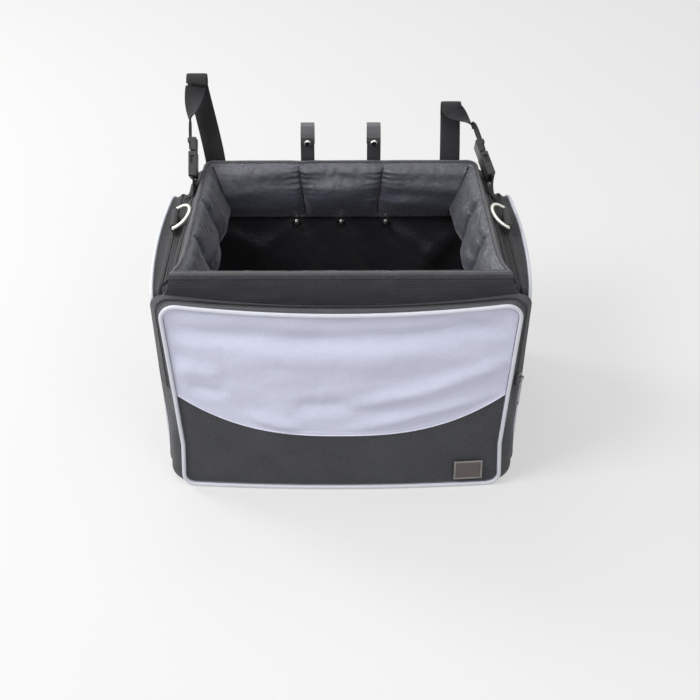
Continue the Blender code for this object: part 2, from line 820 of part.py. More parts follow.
def piping(name, pocket, rows, radius, finish, **options):
    """Round piping along the edge of a face, just in front of it."""
    grid = []
    for z, low, high in rows:
        row = []
        for share in pocket.columns:
            a = mix(low, high, share)
            row.append(Vector(pocket.place(a, pocket.warp(a, z), pocket.face_c(a, z) + radius + GAP)))
        grid.append(row)
    return tube(name, rim_of(grid), radius, PIPING_SIDES, finish, **options)


# Front pocket

def pocket_half(z):
    """Half width of the front pocket's face at this height."""
    low = POCKET_BOTTOM + POCKET_BOTTOM_RADIUS
    high = POCKET_TOP - POCKET_TOP_RADIUS
    if z < POCKET_WAIST_HEIGHT:
        return mix(POCKET_BOTTOM_HALF, POCKET_WAIST_HALF, max(0, z - low) / (POCKET_WAIST_HEIGHT - low))
    if z < POCKET_FOLD:
        share = (z - POCKET_WAIST_HEIGHT) / (POCKET_FOLD - POCKET_WAIST_HEIGHT)
        return mix(POCKET_WAIST_HALF, POCKET_FOLD_HALF, share)
    return mix(POCKET_FOLD_HALF, POCKET_TOP_HALF, min(1, (z - POCKET_FOLD) / (high - POCKET_FOLD)))


def front_place(a, z, c):
    return (a, FRONT_Y - c, z)


def front_edge(z):
    return (-pocket_half(z), pocket_half(z))


def front_flare(across, z):
    """The gusset widens to the wall at the sides, and its top drops to the wall, most at the middle."""
    height = max(0, (z - POCKET_FOLD) / (POCKET_TOP - POCKET_FOLD))
    drop = mix(POCKET_DROP_CENTRE, POCKET_DROP_CORNER, across**2)
    return mix(POCKET_FLARE_LOW, POCKET_FLARE_TOP, height) * across, -drop * height**2


def sagging_top(a, z):
    height = max(0, (z - POCKET_FOLD) / (POCKET_TOP - POCKET_FOLD))
    return z - POCKET_TOP_SAG * height * max(0, 1 - (a / POCKET_TOP_HALF) ** 2)


def arc_height(a):
    """Lower edge of the grey cloth."""
    return ARC_LOW + (POCKET_FOLD - ARC_LOW) * min(1, abs(a) / POCKET_FOLD_HALF) ** ARC_POWER


def arc_topped(a, z):
    """Bends the rows of the black cloth so that their top edge is the arc."""
    share = (z - POCKET_BOTTOM) / (POCKET_FOLD - POCKET_BOTTOM)
    return z - (POCKET_FOLD - arc_height(a)) * share


def front_pocket(warp):
    depth, crown, skin = POCKET_DEPTH, POCKET_CROWN, POCKET_SKIN
    columns = side_weighted(POCKET_COLUMNS)
    return Pocket(front_place, front_edge, front_flare, warp, depth, crown, skin, columns)


def build_front_pocket():
    hinge = (0, FRONT_Y - POCKET_DEPTH - POCKET_CROWN - HINGE_MARGIN, POCKET_FOLD)
    upper = front_pocket(sagging_top)
    radii = (POCKET_TOP_RADIUS, POCKET_TOP_RADIUS)
    rows = outline_rows(front_edge, POCKET_FOLD + RUNNING_GAP, POCKET_TOP, radii, POCKET_ROWS)
    front_c = POCKET_SPLIT + RUNNING_GAP
    dish("front_pocket_flap", upper, rows, front_c, "grey_nylon", origin=hinge)
    gusset_band("front_pocket_band", upper, rows, GAP, POCKET_SPLIT, "black_polyester")
    piping("front_piping_upper", upper, rows, PIPING_RADIUS, "reflective_piping", origin=hinge)
    lower = front_pocket(arc_topped)
    radii = (POCKET_BOTTOM_RADIUS, POCKET_BOTTOM_RADIUS)
    rows = outline_rows(front_edge, POCKET_FOLD - RUNNING_GAP, POCKET_BOTTOM, radii, POCKET_ROWS)
    dish("front_pocket_tray", lower, rows, GAP, "black_polyester")
    plain = front_pocket(lambda a, z: z)
    piping("front_piping_lower", plain, rows, PIPING_RADIUS, "reflective_piping")
    build_grey_lower(lower)
    build_label(lower)


def build_grey_lower(pocket):
    """The grey cloth below the flap's fold, down to the arc."""
    top = POCKET_FOLD - RUNNING_GAP
    half = POCKET_FOLD_HALF
    low, high = front_edge(top)
    reach = half * ((top - PANEL_SEAM_RISE - ARC_LOW) / (POCKET_FOLD - ARC_LOW)) ** (1 / ARC_POWER)
    columns = [mix(low, high, share) for share in pocket.columns]
    columns = [-reach] + [a for a in columns if abs(a) < reach - PANEL_SEAM_RISE] + [reach]
    sheets = []
    for under in (0, pocket.skin):
        rows = []
        for height in shares(2):
            row = []
            for a in columns:
                z = mix(arc_height(a) + PANEL_SEAM, top, height)
                row.append(pocket.place(a, z, pocket.face_c(a, top) - under))
            rows.append(row)
        sheets.append(rows)
    skin_sheets("front_pocket_grey_lower", sheets[0], sheets[1], "grey_nylon")


def build_label(pocket):
    """A bare sewn patch near the lower right corner."""
    sheets = []
    for lift in (GAP + LABEL_THICKNESS, GAP):
        rows = []
        for height in shares(LABEL_STEPS):
            z = LABEL_Z - LABEL_HEIGHT / 2 + LABEL_HEIGHT * height
            row = []
            for share in shares(LABEL_STEPS):
                a = LABEL_X - LABEL_WIDTH / 2 + LABEL_WIDTH * share
                row.append(pocket.place(a, z, pocket.face_c(a, z) + lift))
            rows.append(row)
        sheets.append(rows)
    skin_sheets("front_label", sheets[0], sheets[1], "label_rubber")


# Side pockets

def side_place(sign):
    return lambda a, z, c: (sign * (side_half(a, min(z, SHOULDER_HEIGHT)) + c), a, z)


def side_edge(z):
    return (SIDE_POCKET_FRONT, SIDE_POCKET_REAR)


def side_flare(across, z):
    """The gusset's top rises to the wall."""
    height = max(0, (z - SIDE_POCKET_FOLD) / (SIDE_POCKET_TOP - SIDE_POCKET_FOLD))
    return 0, SIDE_POCKET_RISE * height**2


def build_side_pocket(side, sign):
    depth, crown, skin = SIDE_POCKET_DEPTH, SIDE_POCKET_CROWN, SIDE_POCKET_SKIN
    place = side_place(sign)
    columns = shares(SIDE_POCKET_COLUMNS)
    pocket = Pocket(place, side_edge, side_flare, lambda a, z: z, depth, crown, skin, columns)
    fold = SIDE_POCKET_FOLD
    middle = (SIDE_POCKET_FRONT + SIDE_POCKET_REAR) / 2
    hinge_x = side_half(middle, fold) + depth + crown + HINGE_MARGIN
    hinge = (sign * hinge_x, 0, fold)
    radii = (SIDE_POCKET_FRONT_RADIUS, SIDE_POCKET_REAR_RADIUS)
    rows = outline_rows(side_edge, fold + RUNNING_GAP, SIDE_POCKET_TOP, radii, SIDE_POCKET_ROWS)
    split = SIDE_POCKET_SPLIT
    dish("side_pocket_flap_" + side, pocket, rows, split + RUNNING_GAP, "black_polyester", origin=hinge)
    gusset_band("side_pocket_band_" + side, pocket, rows, GAP, split, "black_polyester")
    piping("side_piping_upper_" + side, pocket, rows, SIDE_PIPING_RADIUS, "reflective_piping", origin=hinge)
    radii = (SIDE_POCKET_BOTTOM_RADIUS, SIDE_POCKET_BOTTOM_RADIUS)
    rows = outline_rows(side_edge, fold - RUNNING_GAP, SIDE_POCKET_BOTTOM, radii, SIDE_POCKET_ROWS)
    dish("side_pocket_tray_" + side, pocket, rows, GAP, "black_polyester")
    piping("side_piping_lower_" + side, pocket, rows, SIDE_PIPING_RADIUS, "reflective_piping")
    seat = Vector(place(SIDE_POCKET_REAR, SIDE_SLIDER_HEIGHT, split))
    along = Vector(place(SIDE_POCKET_REAR, SIDE_POCKET_TOP, split)) - seat
    build_slider("side_" + side, seat, Vector((0, 1, 0)), along.normalized(), SLIDER_LIFT)


# Zip sliders

def build_slider(name, seat, out, along, lift):
    """A slider this far off the gusset's outer face, with a pin for the pull that hangs from it."""
    across = along.cross(out).normalized()
    frame = (seat + out * lift, out, along, across)
    half_length, half_width = SLIDER_LENGTH / 2, SLIDER_WIDTH / 2
    finish = "black_steel"
    low = (0, -half_length, -half_width)
    high = (SLIDER_THICKNESS, half_length, half_width)
    slider = add_block(name + "_zip_slider", frame, low, high, finish, origin=frame[0])
    bevel(slider, SLIDER_BEVEL)
    lug_top = SLIDER_THICKNESS + LUG_SIZE
    for label, near in (("lower", -LUG_SPACE / 2 - LUG_THICKNESS), ("upper", LUG_SPACE / 2)):
        low = (SLIDER_THICKNESS / 2, -LUG_SIZE / 2, near)
        high = (lug_top, LUG_SIZE / 2, near + LUG_THICKNESS)
        lug = add_block(name + "_lug_" + label, frame, low, high, finish, origin=frame[0])
        combine(slider, lug, "UNION")
    centre = frame[0] + out * (lug_top - LUG_SIZE / 2)
    lug_offset = across * (LUG_SPACE + LUG_THICKNESS) / 2
    ends = [centre - lug_offset, centre + lug_offset]
    pin = tube(name + "_pin", ends, PIN_RADIUS, WIRE_SIDES, finish, origin=frame[0])
    combine(slider, pin, "UNION")
    build_pull(name, centre, out, along, across)


def build_pull(name, centre, out, along, across):
    """The pull hangs from the pin: a bored barrel, a neck and a flat tab with an eye."""
    finish = "black_steel"
    rings = []
    for radius, side in ((PULL_BARREL, -1), (PULL_BARREL, 1), (PULL_BORE, 1), (PULL_BORE, -1)):
        ring = []
        for step in range(ROUND_SIDES):
            angle = math.tau * step / ROUND_SIDES
            spoke = out * math.cos(angle) + along * math.sin(angle)
            ring.append(centre + across * side * PULL_BARREL_WIDTH / 2 + spoke * radius)
        rings.append(ring)
    pull = skin_rings(name + "_zip_pull", rings, finish, looped=True, origin=centre, smooth=True)
    frame = (centre, out, along, across)
    half = PULL_THICKNESS / 2
    bore_edge = (PULL_BARREL + PULL_BORE) / 2
    low = (-half, -PULL_NECK - PULL_WIDTH / 2, -PULL_BARREL_WIDTH / 2)
    high = (half, -bore_edge, PULL_BARREL_WIDTH / 2)
    neck = add_block(name + "_neck", frame, low, high, finish, origin=centre)
    combine(pull, neck, "UNION")
    low = (-half, -PULL_LENGTH, -PULL_WIDTH / 2)
    high = (half, -PULL_NECK, PULL_WIDTH / 2)
    tab = add_block(name + "_tab", frame, low, high, finish, origin=centre)
    combine(pull, tab, "UNION")
    eye_place = centre - along * (PULL_LENGTH - PULL_WIDTH / 2)
    reach = out * (half + OVERRUN)
    eye = tube(name + "_eye", [eye_place - reach, eye_place + reach], PULL_EYE, WIRE_SIDES, finish, origin=centre)
    combine(pull, eye, "DIFFERENCE")


def build_front_slider():
    """On the right run of the front zip, near its lower end, where the folding flap passes under it."""
    pocket = front_pocket(sagging_top)
    low_z, high_z = FRONT_SLIDER_HEIGHT, POCKET_TOP - POCKET_TOP_RADIUS
    seat = Vector(pocket.at_back(pocket_half(low_z), low_z, POCKET_SPLIT))
    along = (Vector(pocket.at_back(pocket_half(high_z), high_z, POCKET_SPLIT)) - seat).normalized()
    forward = Vector(pocket.at_back(pocket_half(low_z), low_z, POCKET_DEPTH)) - seat
    out = along.cross(forward).normalized()
    build_slider("front", seat, out, along, FRONT_SLIDER_LIFT)


# Handlebar rail, hooks and fasteners

def build_rail():
    half, low, high = RAIL_HALF, RAIL_BOTTOM, RAIL_TOP
    corners = [(half, low), (half, high), (-half, high), (-half, low)]
    rail = slab_along_y("mounting_rail", corners, RAIL_FRONT_Y, RAIL_BACK_Y, "black_steel")
    combine(rail, bolt_cutter("rail_bolt_holes"), "DIFFERENCE")
    inside = BACK_Y - BACK_INSET
    head = RAIL_BACK_Y + GAP
    for label, x in zip(("left", "middle", "right"), bolt_places()):
        profile = [
            (BOLT_RADIUS, inside - NUT - BOLT_TAIL),
            (BOLT_RADIUS, head),
            (BOLT_HEAD_RADIUS, head),
            (BOLT_HEAD_RADIUS - BOLT_HEAD / 3, head + BOLT_HEAD),
        ]
        turned("rail_bolt_" + label, (x, BOLT_HEIGHT), profile, "bright_zinc")
        bore = BOLT_RADIUS + GAP
        profile = [(bore, inside), (NUT_RADIUS, inside), (NUT_RADIUS, inside - NUT), (bore, inside - NUT)]
        turned("rail_nut_" + label, (x, BOLT_HEIGHT), profile, "black_steel", bored=True)


def hook_path(x):
    """Up the front leg, over the bar's place and down the short rear leg, which ends in a lip."""
    width = Vector((1, 0, 0))
    radius = HOOK_BORE + HOOK_STRIP / 2
    places = [Vector((x, HOOK_LEG_Y, HOOK_BOTTOM))]
    for share in shares(HOOK_ARC_STEPS):
        angle = math.pi * (1 - share)
        y = HOOK_CENTRE_Y + radius * math.cos(angle)
        places.append(Vector((x, y, HOOK_CENTRE_HEIGHT + radius * math.sin(angle))))
    rear_y = HOOK_CENTRE_Y + radius
    places.append(Vector((x, rear_y, HOOK_REAR_BOTTOM + HOOK_LIP)))
    places.append(Vector((x, rear_y + HOOK_LIP, HOOK_REAR_BOTTOM)))
    return [(place, width) for place in places]


def build_hooks():
    for side, sign in (("right", 1), ("left", -1)):
        x = sign * HOOK_X
        hook = ribbon("handlebar_hook_" + side, hook_path(x), HOOK_WIDTH, HOOK_STRIP, "grey_hook", smooth=True)
        front = HOOK_LEG_Y - HOOK_STRIP / 2
        back = HOOK_LEG_Y + HOOK_STRIP / 2
        hole = [Vector((x, y, HOOK_SCREW_HEIGHT)) for y in (front - OVERRUN, back + OVERRUN)]
        cutter = tube("hook_hole_" + side, hole, HOOK_SCREW_RADIUS + GAP, ROUND_SIDES, "board")
        combine(hook, cutter, "DIFFERENCE")
        face = front - GAP
        profile = [
            (HOOK_SCREW_HEAD_RADIUS - HOOK_SCREW_HEAD / 2, face - HOOK_SCREW_HEAD),
            (HOOK_SCREW_HEAD_RADIUS, face - HOOK_SCREW_HEAD / 3),
            (HOOK_SCREW_HEAD_RADIUS, face),
            (HOOK_SCREW_RADIUS, face),
            (HOOK_SCREW_RADIUS, back),
        ]
        turned("hook_screw_" + side, (x, HOOK_SCREW_HEIGHT), profile, "bright_zinc")


# Straps and buckles

def buckle_frame(side, sign):
    """A buckle's place: its foot, along the strap, across the strap, and out through its thickness."""
    foot, end = (LEFT_SOCKET, LEFT_PLUG_END) if side == "left" else (RIGHT_SOCKET, RIGHT_PLUG_END)
    foot = Vector(foot)
    along = (Vector(end) - foot).normalized()
    through = Vector((sign, 0, 0))
    through = (through - along * through.dot(along)).normalized()
    return foot, along, through.cross(along), through


def strap_stations(side, sign):
    """Up from the back panel, behind the bar and over it, then forward and through the plug's keeper, edge-on."""
    foot_x, bar_x, bar_z = LEFT_FOOT_X, LEFT_BAR_X, LEFT_BAR_HEIGHT
    if side == "right":
        foot_x, bar_x, bar_z = RIGHT_FOOT_X, RIGHT_BAR_X, RIGHT_BAR_HEIGHT
    radius = STRAP_LOOP_RADIUS
    foot_y = BACK_Y + TAPE_CLEARANCE + TAPE + GAP + WEBBING
    centre = Vector((sign * bar_x, BAR_DEPTH, bar_z))
    origin, along, across, through = buckle_frame(side, sign)
    lane = origin + through * (PLUG_SADDLE + GAP + WEBBING / 2)
    plug = SOCKET_LENGTH + GAP
    end = lane + along * (plug + STRAP_END)
    bend = lane + along * (plug + PLUG_LENGTH + PLUG_TRAVEL)
    wide = Vector((1, 0, 0))
    stations = [(Vector((sign * foot_x, foot_y, z)), wide) for z in (FOOT_BOTTOM, BOX_HEIGHT)]
    rise = Vector((BAR_DEPTH - foot_y, bar_z - BOX_HEIGHT))
    start = math.atan2(rise.y, rise.x) - math.asin(radius / rise.length) - math.pi / 2
    fall = Vector((bend.y - BAR_DEPTH, bend.z - bar_z))
    finish = math.atan2(fall.y, fall.x) % math.tau - math.acos(radius / fall.length)
    for share in shares(STRAP_ARC_STEPS):
        angle = mix(start, finish, share)
        spoke = Vector((0, math.cos(angle), math.sin(angle)))
        stations.append((centre + spoke * radius, wide))
    leave = stations[-1][0]
    edge_on = across if across.z < 0 else -across
    for share in shares(STRAP_LEG_STEPS)[1:]:
        turn = share * math.pi / 2
        stations.append((leave.lerp(bend, share), wide * sign * math.cos(turn) + edge_on * math.sin(turn)))
    stations.append((end, edge_on))
    return stations


def build_straps():
    for side, sign in (("right", 1), ("left", -1)):
        ribbon("handlebar_strap_" + side, strap_stations(side, sign), WEBBING_WIDTH, WEBBING, "webbing", smooth=True)
        frame = buckle_frame(side, sign)
        build_socket(side, frame)
        build_plug(side, frame)
        build_anchor(side, sign, frame)


def build_socket(side, frame):
    """The buckle half on the box: a hollow body, open towards the plug, with a window at each side."""
    origin = frame[0]
    finish = "black_plastic"
    half_width, half = SOCKET_WIDTH / 2, SOCKET_THICKNESS / 2
    low = (0, -half_width, -half)
    high = (SOCKET_LENGTH, half_width, half)
    socket = add_block("buckle_socket_" + side, frame, low, high, finish, origin=origin)
    bevel(socket, BUCKLE_BEVEL)
    mouth = SOCKET_LENGTH + OVERRUN
    low = (SOCKET_LENGTH - CAVITY_DEPTH, -CAVITY_WIDTH / 2, -CAVITY_THICKNESS / 2)
    high = (mouth, CAVITY_WIDTH / 2, CAVITY_THICKNESS / 2)
    combine(socket, add_block("cavity_" + side, frame, low, high, finish, origin=origin), "DIFFERENCE")
    high_end = SOCKET_LENGTH - WINDOW_FROM_MOUTH
    reach = half_width + OVERRUN
    low = (high_end - WINDOW_LENGTH, -reach, -WINDOW_THICKNESS / 2)
    high = (high_end, reach, WINDOW_THICKNESS / 2)
    combine(socket, add_block("windows_" + side, frame, low, high, finish, origin=origin), "DIFFERENCE")


def build_plug(side, frame):
    """The buckle half on the strap, with two sprung prongs, a guide between them and a keeper for the webbing."""
    origin, along, across, through = frame
    finish = "black_plastic"
    base = origin + along * (SOCKET_LENGTH + GAP)
    plug_frame = (base, along, across, through)
    low = (0, -PLUG_WIDTH / 2, -PLUG_BACK)
    high = (PLUG_LENGTH, PLUG_WIDTH / 2, PLUG_SADDLE)
    plug = add_block("buckle_plug_" + side, plug_frame, low, high, finish, origin=base)
    bevel(plug, BUCKLE_BEVEL)
    low = (PLUG_LENGTH - KEEPER_LENGTH, BUCKLE_BEVEL - PLUG_WIDTH / 2, 0)
    high = (PLUG_LENGTH - BUCKLE_BEVEL, PLUG_WIDTH / 2 - BUCKLE_BEVEL, KEEPER_TOP)
    combine(plug, add_block("keeper_" + side, plug_frame, low, high, finish, origin=base), "UNION")
    slot = WEBBING_WIDTH / 2 + RUNNING_GAP
    low = (-OVERRUN, -slot, PLUG_SADDLE - GAP)
    high = (PLUG_LENGTH + OVERRUN, slot, PLUG_SADDLE + WEBBING + 2 * GAP)
    combine(plug, add_block("keeper_slot_" + side, plug_frame, low, high, finish, origin=base), "DIFFERENCE")
    outer = CAVITY_WIDTH / 2 - RUNNING_GAP
    bars = (
        ("prong_inner_", -outer, PRONG_LENGTH),
        ("prong_outer_", outer - PRONG_WIDTH, PRONG_LENGTH),
        ("guide_", -PRONG_WIDTH / 2, GUIDE_LENGTH),
    )
    for label, start, length in bars:
        low = (-length, start, -PRONG_THICKNESS / 2)
        high = (PLUG_LENGTH / 2, start + PRONG_WIDTH, PRONG_THICKNESS / 2)
        bar = add_block(label + side, plug_frame, low, high, finish, origin=base)
        combine(plug, bar, "UNION")


def build_anchor(side, sign, frame):
    """Short webbing from the wall's slope under the rim up to the socket."""
    origin, along, across, _ = frame
    slope = side_half(ANCHOR_FOOT_Y, SHOULDER_HEIGHT) - side_half(ANCHOR_FOOT_Y, WALL_TOP)
    slope /= WALL_TOP - SHOULDER_HEIGHT
    flat = Vector((-sign * slope * across.z, across.y, across.z)).normalized()
    foot_x = side_half(ANCHOR_FOOT_Y, ANCHOR_FOOT_Z) + (WEBBING / 2 + ANCHOR_CLEARANCE) * math.hypot(1, slope)
    foot = Vector((sign * foot_x, ANCHOR_FOOT_Y, ANCHOR_FOOT_Z))
    end = origin - along * GAP
    stations = [(foot, flat), (end - along * ANCHOR_LEAD, across), (end, across)]
    ribbon("buckle_anchor_" + side, stations, WEBBING_WIDTH, WEBBING, "webbing")


# D-rings

def build_ring(side, sign):
    """A wire ring whose straight bar turns in its tab. At rest the bow leans in on the rim."""
    pivot = Vector((sign * RING_X, RING_Y, RING_Z))
    reach = Vector((sign * math.cos(RING_LEAN), 0, math.sin(RING_LEAN)))
    along = Vector((0, 1, 0))
    path = [pivot - along * RING_HALF, pivot + along * RING_HALF]
    bow = RING_REACH - RING_SHOULDER
    for share in shares(RING_BOW_STEPS):
        angle = math.pi * share
        rise = RING_SHOULDER + bow * math.sin(angle)
        path.append(pivot + along * RING_HALF * math.cos(angle) + reach * rise)
    tube("d_ring_" + side, path, WIRE_RADIUS, WIRE_SIDES, "nickel", looped=True, origin=pivot)


def build_tab(side, sign):
    """Webbing folded round the ring's bar, with its foot sewn to the top of the side pocket."""
    inner_radius = WIRE_RADIUS + RUNNING_GAP
    outer_radius = inner_radius + TAB_PLY
    rings = []
    half_step = math.pi / ROUND_SIDES
    for across, radius in ((-1, outer_radius), (1, outer_radius), (1, inner_radius), (-1, inner_radius)):
        ring = []
        y = RING_Y + across * TAB_WIDTH / 2
        for step in range(ROUND_SIDES):
            angle = half_step + math.tau * step / ROUND_SIDES
            x = radius * math.cos(angle)
            z = RING_Z + radius * math.sin(angle)
            if radius == outer_radius and math.sin(angle) < -math.sin(math.pi / 4):
                x = math.copysign(TAB_FOOT_HALF, x) - TAB_FOOT_INSET
                off_wall = RING_X + x - side_half(y, SHOULDER_HEIGHT)
                z = SIDE_POCKET_TOP + SIDE_POCKET_RISE * (1 - off_wall / SIDE_POCKET_DEPTH) + GAP
            ring.append((sign * RING_X + x, y, z))
        rings.append(ring)
    skin_rings("d_ring_tab_" + side, rings, "webbing", looped=True)


def main():
    clear_scene()
    build_tub()
    build_boards()
    build_lining()
    build_rim()
    build_front_pocket()
    build_front_slider()
    for side, sign in (("right", 1), ("left", -1)):
        build_side_pocket(side, sign)
        build_ring(side, sign)
        build_tab(side, sign)
    build_rail()
    build_hooks()
    build_straps()


main()
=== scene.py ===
"""Looks of the front bicycle box: sewn cloth, padding, zips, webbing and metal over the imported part.

Metres, in the part's own frame: +Z up, front of the box towards -Y, and the origin under the tub's middle.
"""

import math

import bmesh
import bpy
import numpy as np
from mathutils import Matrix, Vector, noise


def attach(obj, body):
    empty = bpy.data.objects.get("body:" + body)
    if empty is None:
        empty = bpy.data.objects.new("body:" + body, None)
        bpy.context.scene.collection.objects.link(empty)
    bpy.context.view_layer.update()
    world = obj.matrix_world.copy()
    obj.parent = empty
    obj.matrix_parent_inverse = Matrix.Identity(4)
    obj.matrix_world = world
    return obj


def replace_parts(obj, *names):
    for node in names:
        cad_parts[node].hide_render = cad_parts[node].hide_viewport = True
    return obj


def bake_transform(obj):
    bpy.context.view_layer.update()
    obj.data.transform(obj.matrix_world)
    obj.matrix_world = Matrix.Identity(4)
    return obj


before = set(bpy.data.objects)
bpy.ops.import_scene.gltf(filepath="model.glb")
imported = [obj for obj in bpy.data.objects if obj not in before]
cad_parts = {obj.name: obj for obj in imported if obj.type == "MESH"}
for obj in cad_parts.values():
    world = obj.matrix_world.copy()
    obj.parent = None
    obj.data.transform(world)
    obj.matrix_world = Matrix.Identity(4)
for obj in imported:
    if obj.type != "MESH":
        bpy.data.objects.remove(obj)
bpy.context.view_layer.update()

# Photograph's camera
IMAGE_SIZE = 700
FOCAL_PIXELS = 1600
SENSOR_WIDTH = 36
CAMERA_PLACE = (0.002, -1.58, 1.214)
CAMERA_PITCH = math.radians(35.75)
CAMERA_YAW = math.radians(-0.31)

# Room
FLOOR_SIZE = 6.0
FLOOR_COLOUR = (0.68, 0.68, 0.675, 1.0)
FLOOR_SEEN = (0.88, 0.88, 0.87, 1.0)
FLOOR_EVENNESS = 0.55
GLOW = 0.50
GLOW_COLOUR = (0.97, 0.98, 1.0, 1.0)
BACKDROP = (0.86, 0.87, 0.865, 1.0)

# Tub
BOX_HEIGHT = 0.270
BOX_DEPTH = 0.252
BOX_MIDDLE = (0, 0, BOX_HEIGHT / 2)
WALL = 0.003
WALL_TOP = 0.262
SHOULDER_HEIGHT = 0.243
FRONT_BASE_HALF = 0.181
REAR_BASE_HALF = 0.176
FRONT_SHOULDER_HALF = 0.191
REAR_SHOULDER_HALF = 0.181
FRONT_RIM_HALF = 0.178
REAR_RIM_HALF = 0.1645
RIM_FLARE = 0.009
RIM_FLARE_DEPTH = 0.045
CORNER_RADIUS = 0.014
FRONT_Y = -BOX_DEPTH / 2
BACK_Y = BOX_DEPTH / 2
REAR_CORNER_Y = BACK_Y - CORNER_RADIUS
SIDE_INSET = 0.0046
BACK_INSET = 0.0079
FLOOR_TOP = 0.0066
LINING = 0.001
LINING_CLOTH = 0.0008
LINING_TOP_LEVELS = (0.250, 0.256, WALL_TOP)
GAP = 0.0003
CORNER_STEPS = 8
SIDE_STEPS = 40
SIDE_CROWDING = 1.3
PANEL_FOOT = 0.0034
WALL_CLOTH = 0.0026
FRONT_WALL_CLOTH = 0.0024
BASE_CLOTH = 0.0028
FRONT_WALL_TOP = 0.2668
FRONT_WALL_HEIGHTS = (0.0034, 0.016, 0.060, 0.132, 0.2275, 0.2455, 0.262)
FRONT_WALL_HALVES = (0.188, 0.201, 0.1995, 0.205, 0.209, 0.191, 0.187)
BACK_BOARD_ROOM = 0.0033
LINING_SLACK_TOP = 0.03
LINING_SLACK_FOOT = 0.02
SIDES = (("right", 1), ("left", -1))

# Padded rim
PAD_TOP = 0.2675
PAD_BOTTOM = 0.197
PAD_EDGE = 0.004
PAD_TOP_THICKNESS = 0.007
PAD_CROWN = 0.012
SIDE_PAD_CROWN = 0.022
SIDE_PAD_SKEW = 0.45
PAD_CLEARANCE = 0.0008
PAD_SEGMENTS = 3
PAD_ROWS = 40
PAD_COLUMNS = 199
SIDE_PAD_COLUMNS = 193
SIDE_PAD_TURN = 7
SIDE_PAD_REACH = 0.8
END_PAD_SKEW = 0.8
PAD_SEAM_AND_SHADE = 0.0009
END_CHANNEL_SHARE = 0.50
SIDE_CHANNEL_SHARE = 0.52
SEAM_WIDTH_SHARE = 0.030
PILLOW_WIDTH_SHARE = 0.12
CHANNEL_DEPTH = 0.0050
CHANNEL_EASE = 0.35
SIDE_CHANNEL_DEPTH = 0.0065
SIDE_PUCKER = 0.0005
PUCKER = 0.0015
PUCKER_PITCH = 0.0062
PUCKER_REACH = 0.011
PUCKER_START = 0.0025
PUCKER_WANDER = (0.02, 2.5)
GATHER = 0.0016
GATHER_SIZE = (0.008, 0.008, 0.060)
CRUMPLE = 0.0030
CRUMPLE_SIZE = (0.070, 0.070, 0.016)
PAD_SHOULDER = 0.0045
PAD_SHOULDER_SHARE = 0.12
RIM_LIP = 0.0022
RIM_REACH = 0.0032
RIM_CLOTH = 0.0010
RIM_DIP = 0.0016
RIM_DIP_WIDTH = 0.007
BINDING_UNDER = 0.0003
BINDING_STEPS = 6
RIM_EDGE = 0.0004
RIM_EDGE_CLOTH = RIM_EDGE * 0.6
RIM_CORD = 0.0006
RIM_CRIMP = 0.0012
RIM_CRIMP_SIZE = 0.006
RIM_CREST = 0.25
RIM_ROUNDNESS = 0.8
RIM_TUCK = 0.0015
RIM_SEAM_HEIGHT = 0.2625
RIM_SEAM_HALF = 0.185

# Zip for a cover
TAPE = 0.00064
TAPE_BOTTOM = 0.2545
TAPE_TOP = 0.2610
TAPE_OFF_WALL = 0.0015
TEETH_OFF_WALL = 0.0022
TEETH_RISE = 0.001
TAPE_CURL = ((0.0, 0.0), (0.0035, -0.0030), (0.0070, -0.0040), (0.0100, -0.0036))
TAPE_CURL_DROP = 0.0015
TAPE_CURL_PITCH = 0.001
TAPE_CURL_POINTS = 11

# Front pocket
POCKET_DEPTH = 0.033
POCKET_CROWN = 0.008
POCKET_SPLIT = 0.0177
POCKET_BOTTOM = 0.003
POCKET_TOP = 0.252
POCKET_FOLD = 0.132
POCKET_HEIGHTS = (0.016, 0.060, 0.132, 0.234)
POCKET_HALVES = (0.182, 0.1805, 0.186, 0.1945)
POCKET_TOP_HALF = 0.1945
POCKET_TOP_RADIUS = 0.018
POCKET_BOTTOM_RADIUS = 0.013
POCKET_TOP_SAG = 0.009
POCKET_FLARE_TOP = 0.0145
POCKET_FLARE_LOW = 0.019
POCKET_DROP_CORNER = 0.0065
POCKET_DROP_CENTRE = 0.016
ARC_LOW = 0.077
ARC_HALF = 0.186
ARC_POWER = 2.7
SEAM = 0.0008
GREY_INSET = 0.0004
PIPING_RADIUS = 0.0023
PIPING_STAND = 0.9
PIPING_PITCH = 0.0025
PIPING_SHADOW_RADIUS = 0.0005
CLOTH = 0.0012
HEM = 0.0004
HEM_LIFT = 0.0002
HEM_CLOTH = HEM * 0.8
HEM_EDGE = 0.0009
HEM_WIDTH = 0.0062
HEM_STITCH = 0.0046
HEM_SHARE = 0.985
GUSSET_START = 0.0004
GUSSET_CLOTH = 0.0014
GUSSET_HALF = 0.19
FRONT_BULGE = 0.0070
SIDE_BULGE = 0.0012
BULGE_SIDE = 0.8
BULGE_START = 0.030
BULGE_RUN = 0.045
BULGE_SKEW = 1.6
RUNNING_GAP = 0.0006
RIM_PITCH = 0.002
SIDE_FADE = 0.06
EDGE_FADE = 0.012
ARC_FADE = 0.010

# Name patch, left bare
LABEL_X = 0.1457
LABEL_Z = 0.0245
LABEL_WIDTH = 0.0325
LABEL_HEIGHT = 0.0255
LABEL_THICKNESS = 0.0012
LABEL_BORDER = 0.0018
LABEL_BORDER_RISE = 0.0006
LABEL_STAND = 0.0018
LABEL_INSET = 0.001
LABEL_STEPS = 12

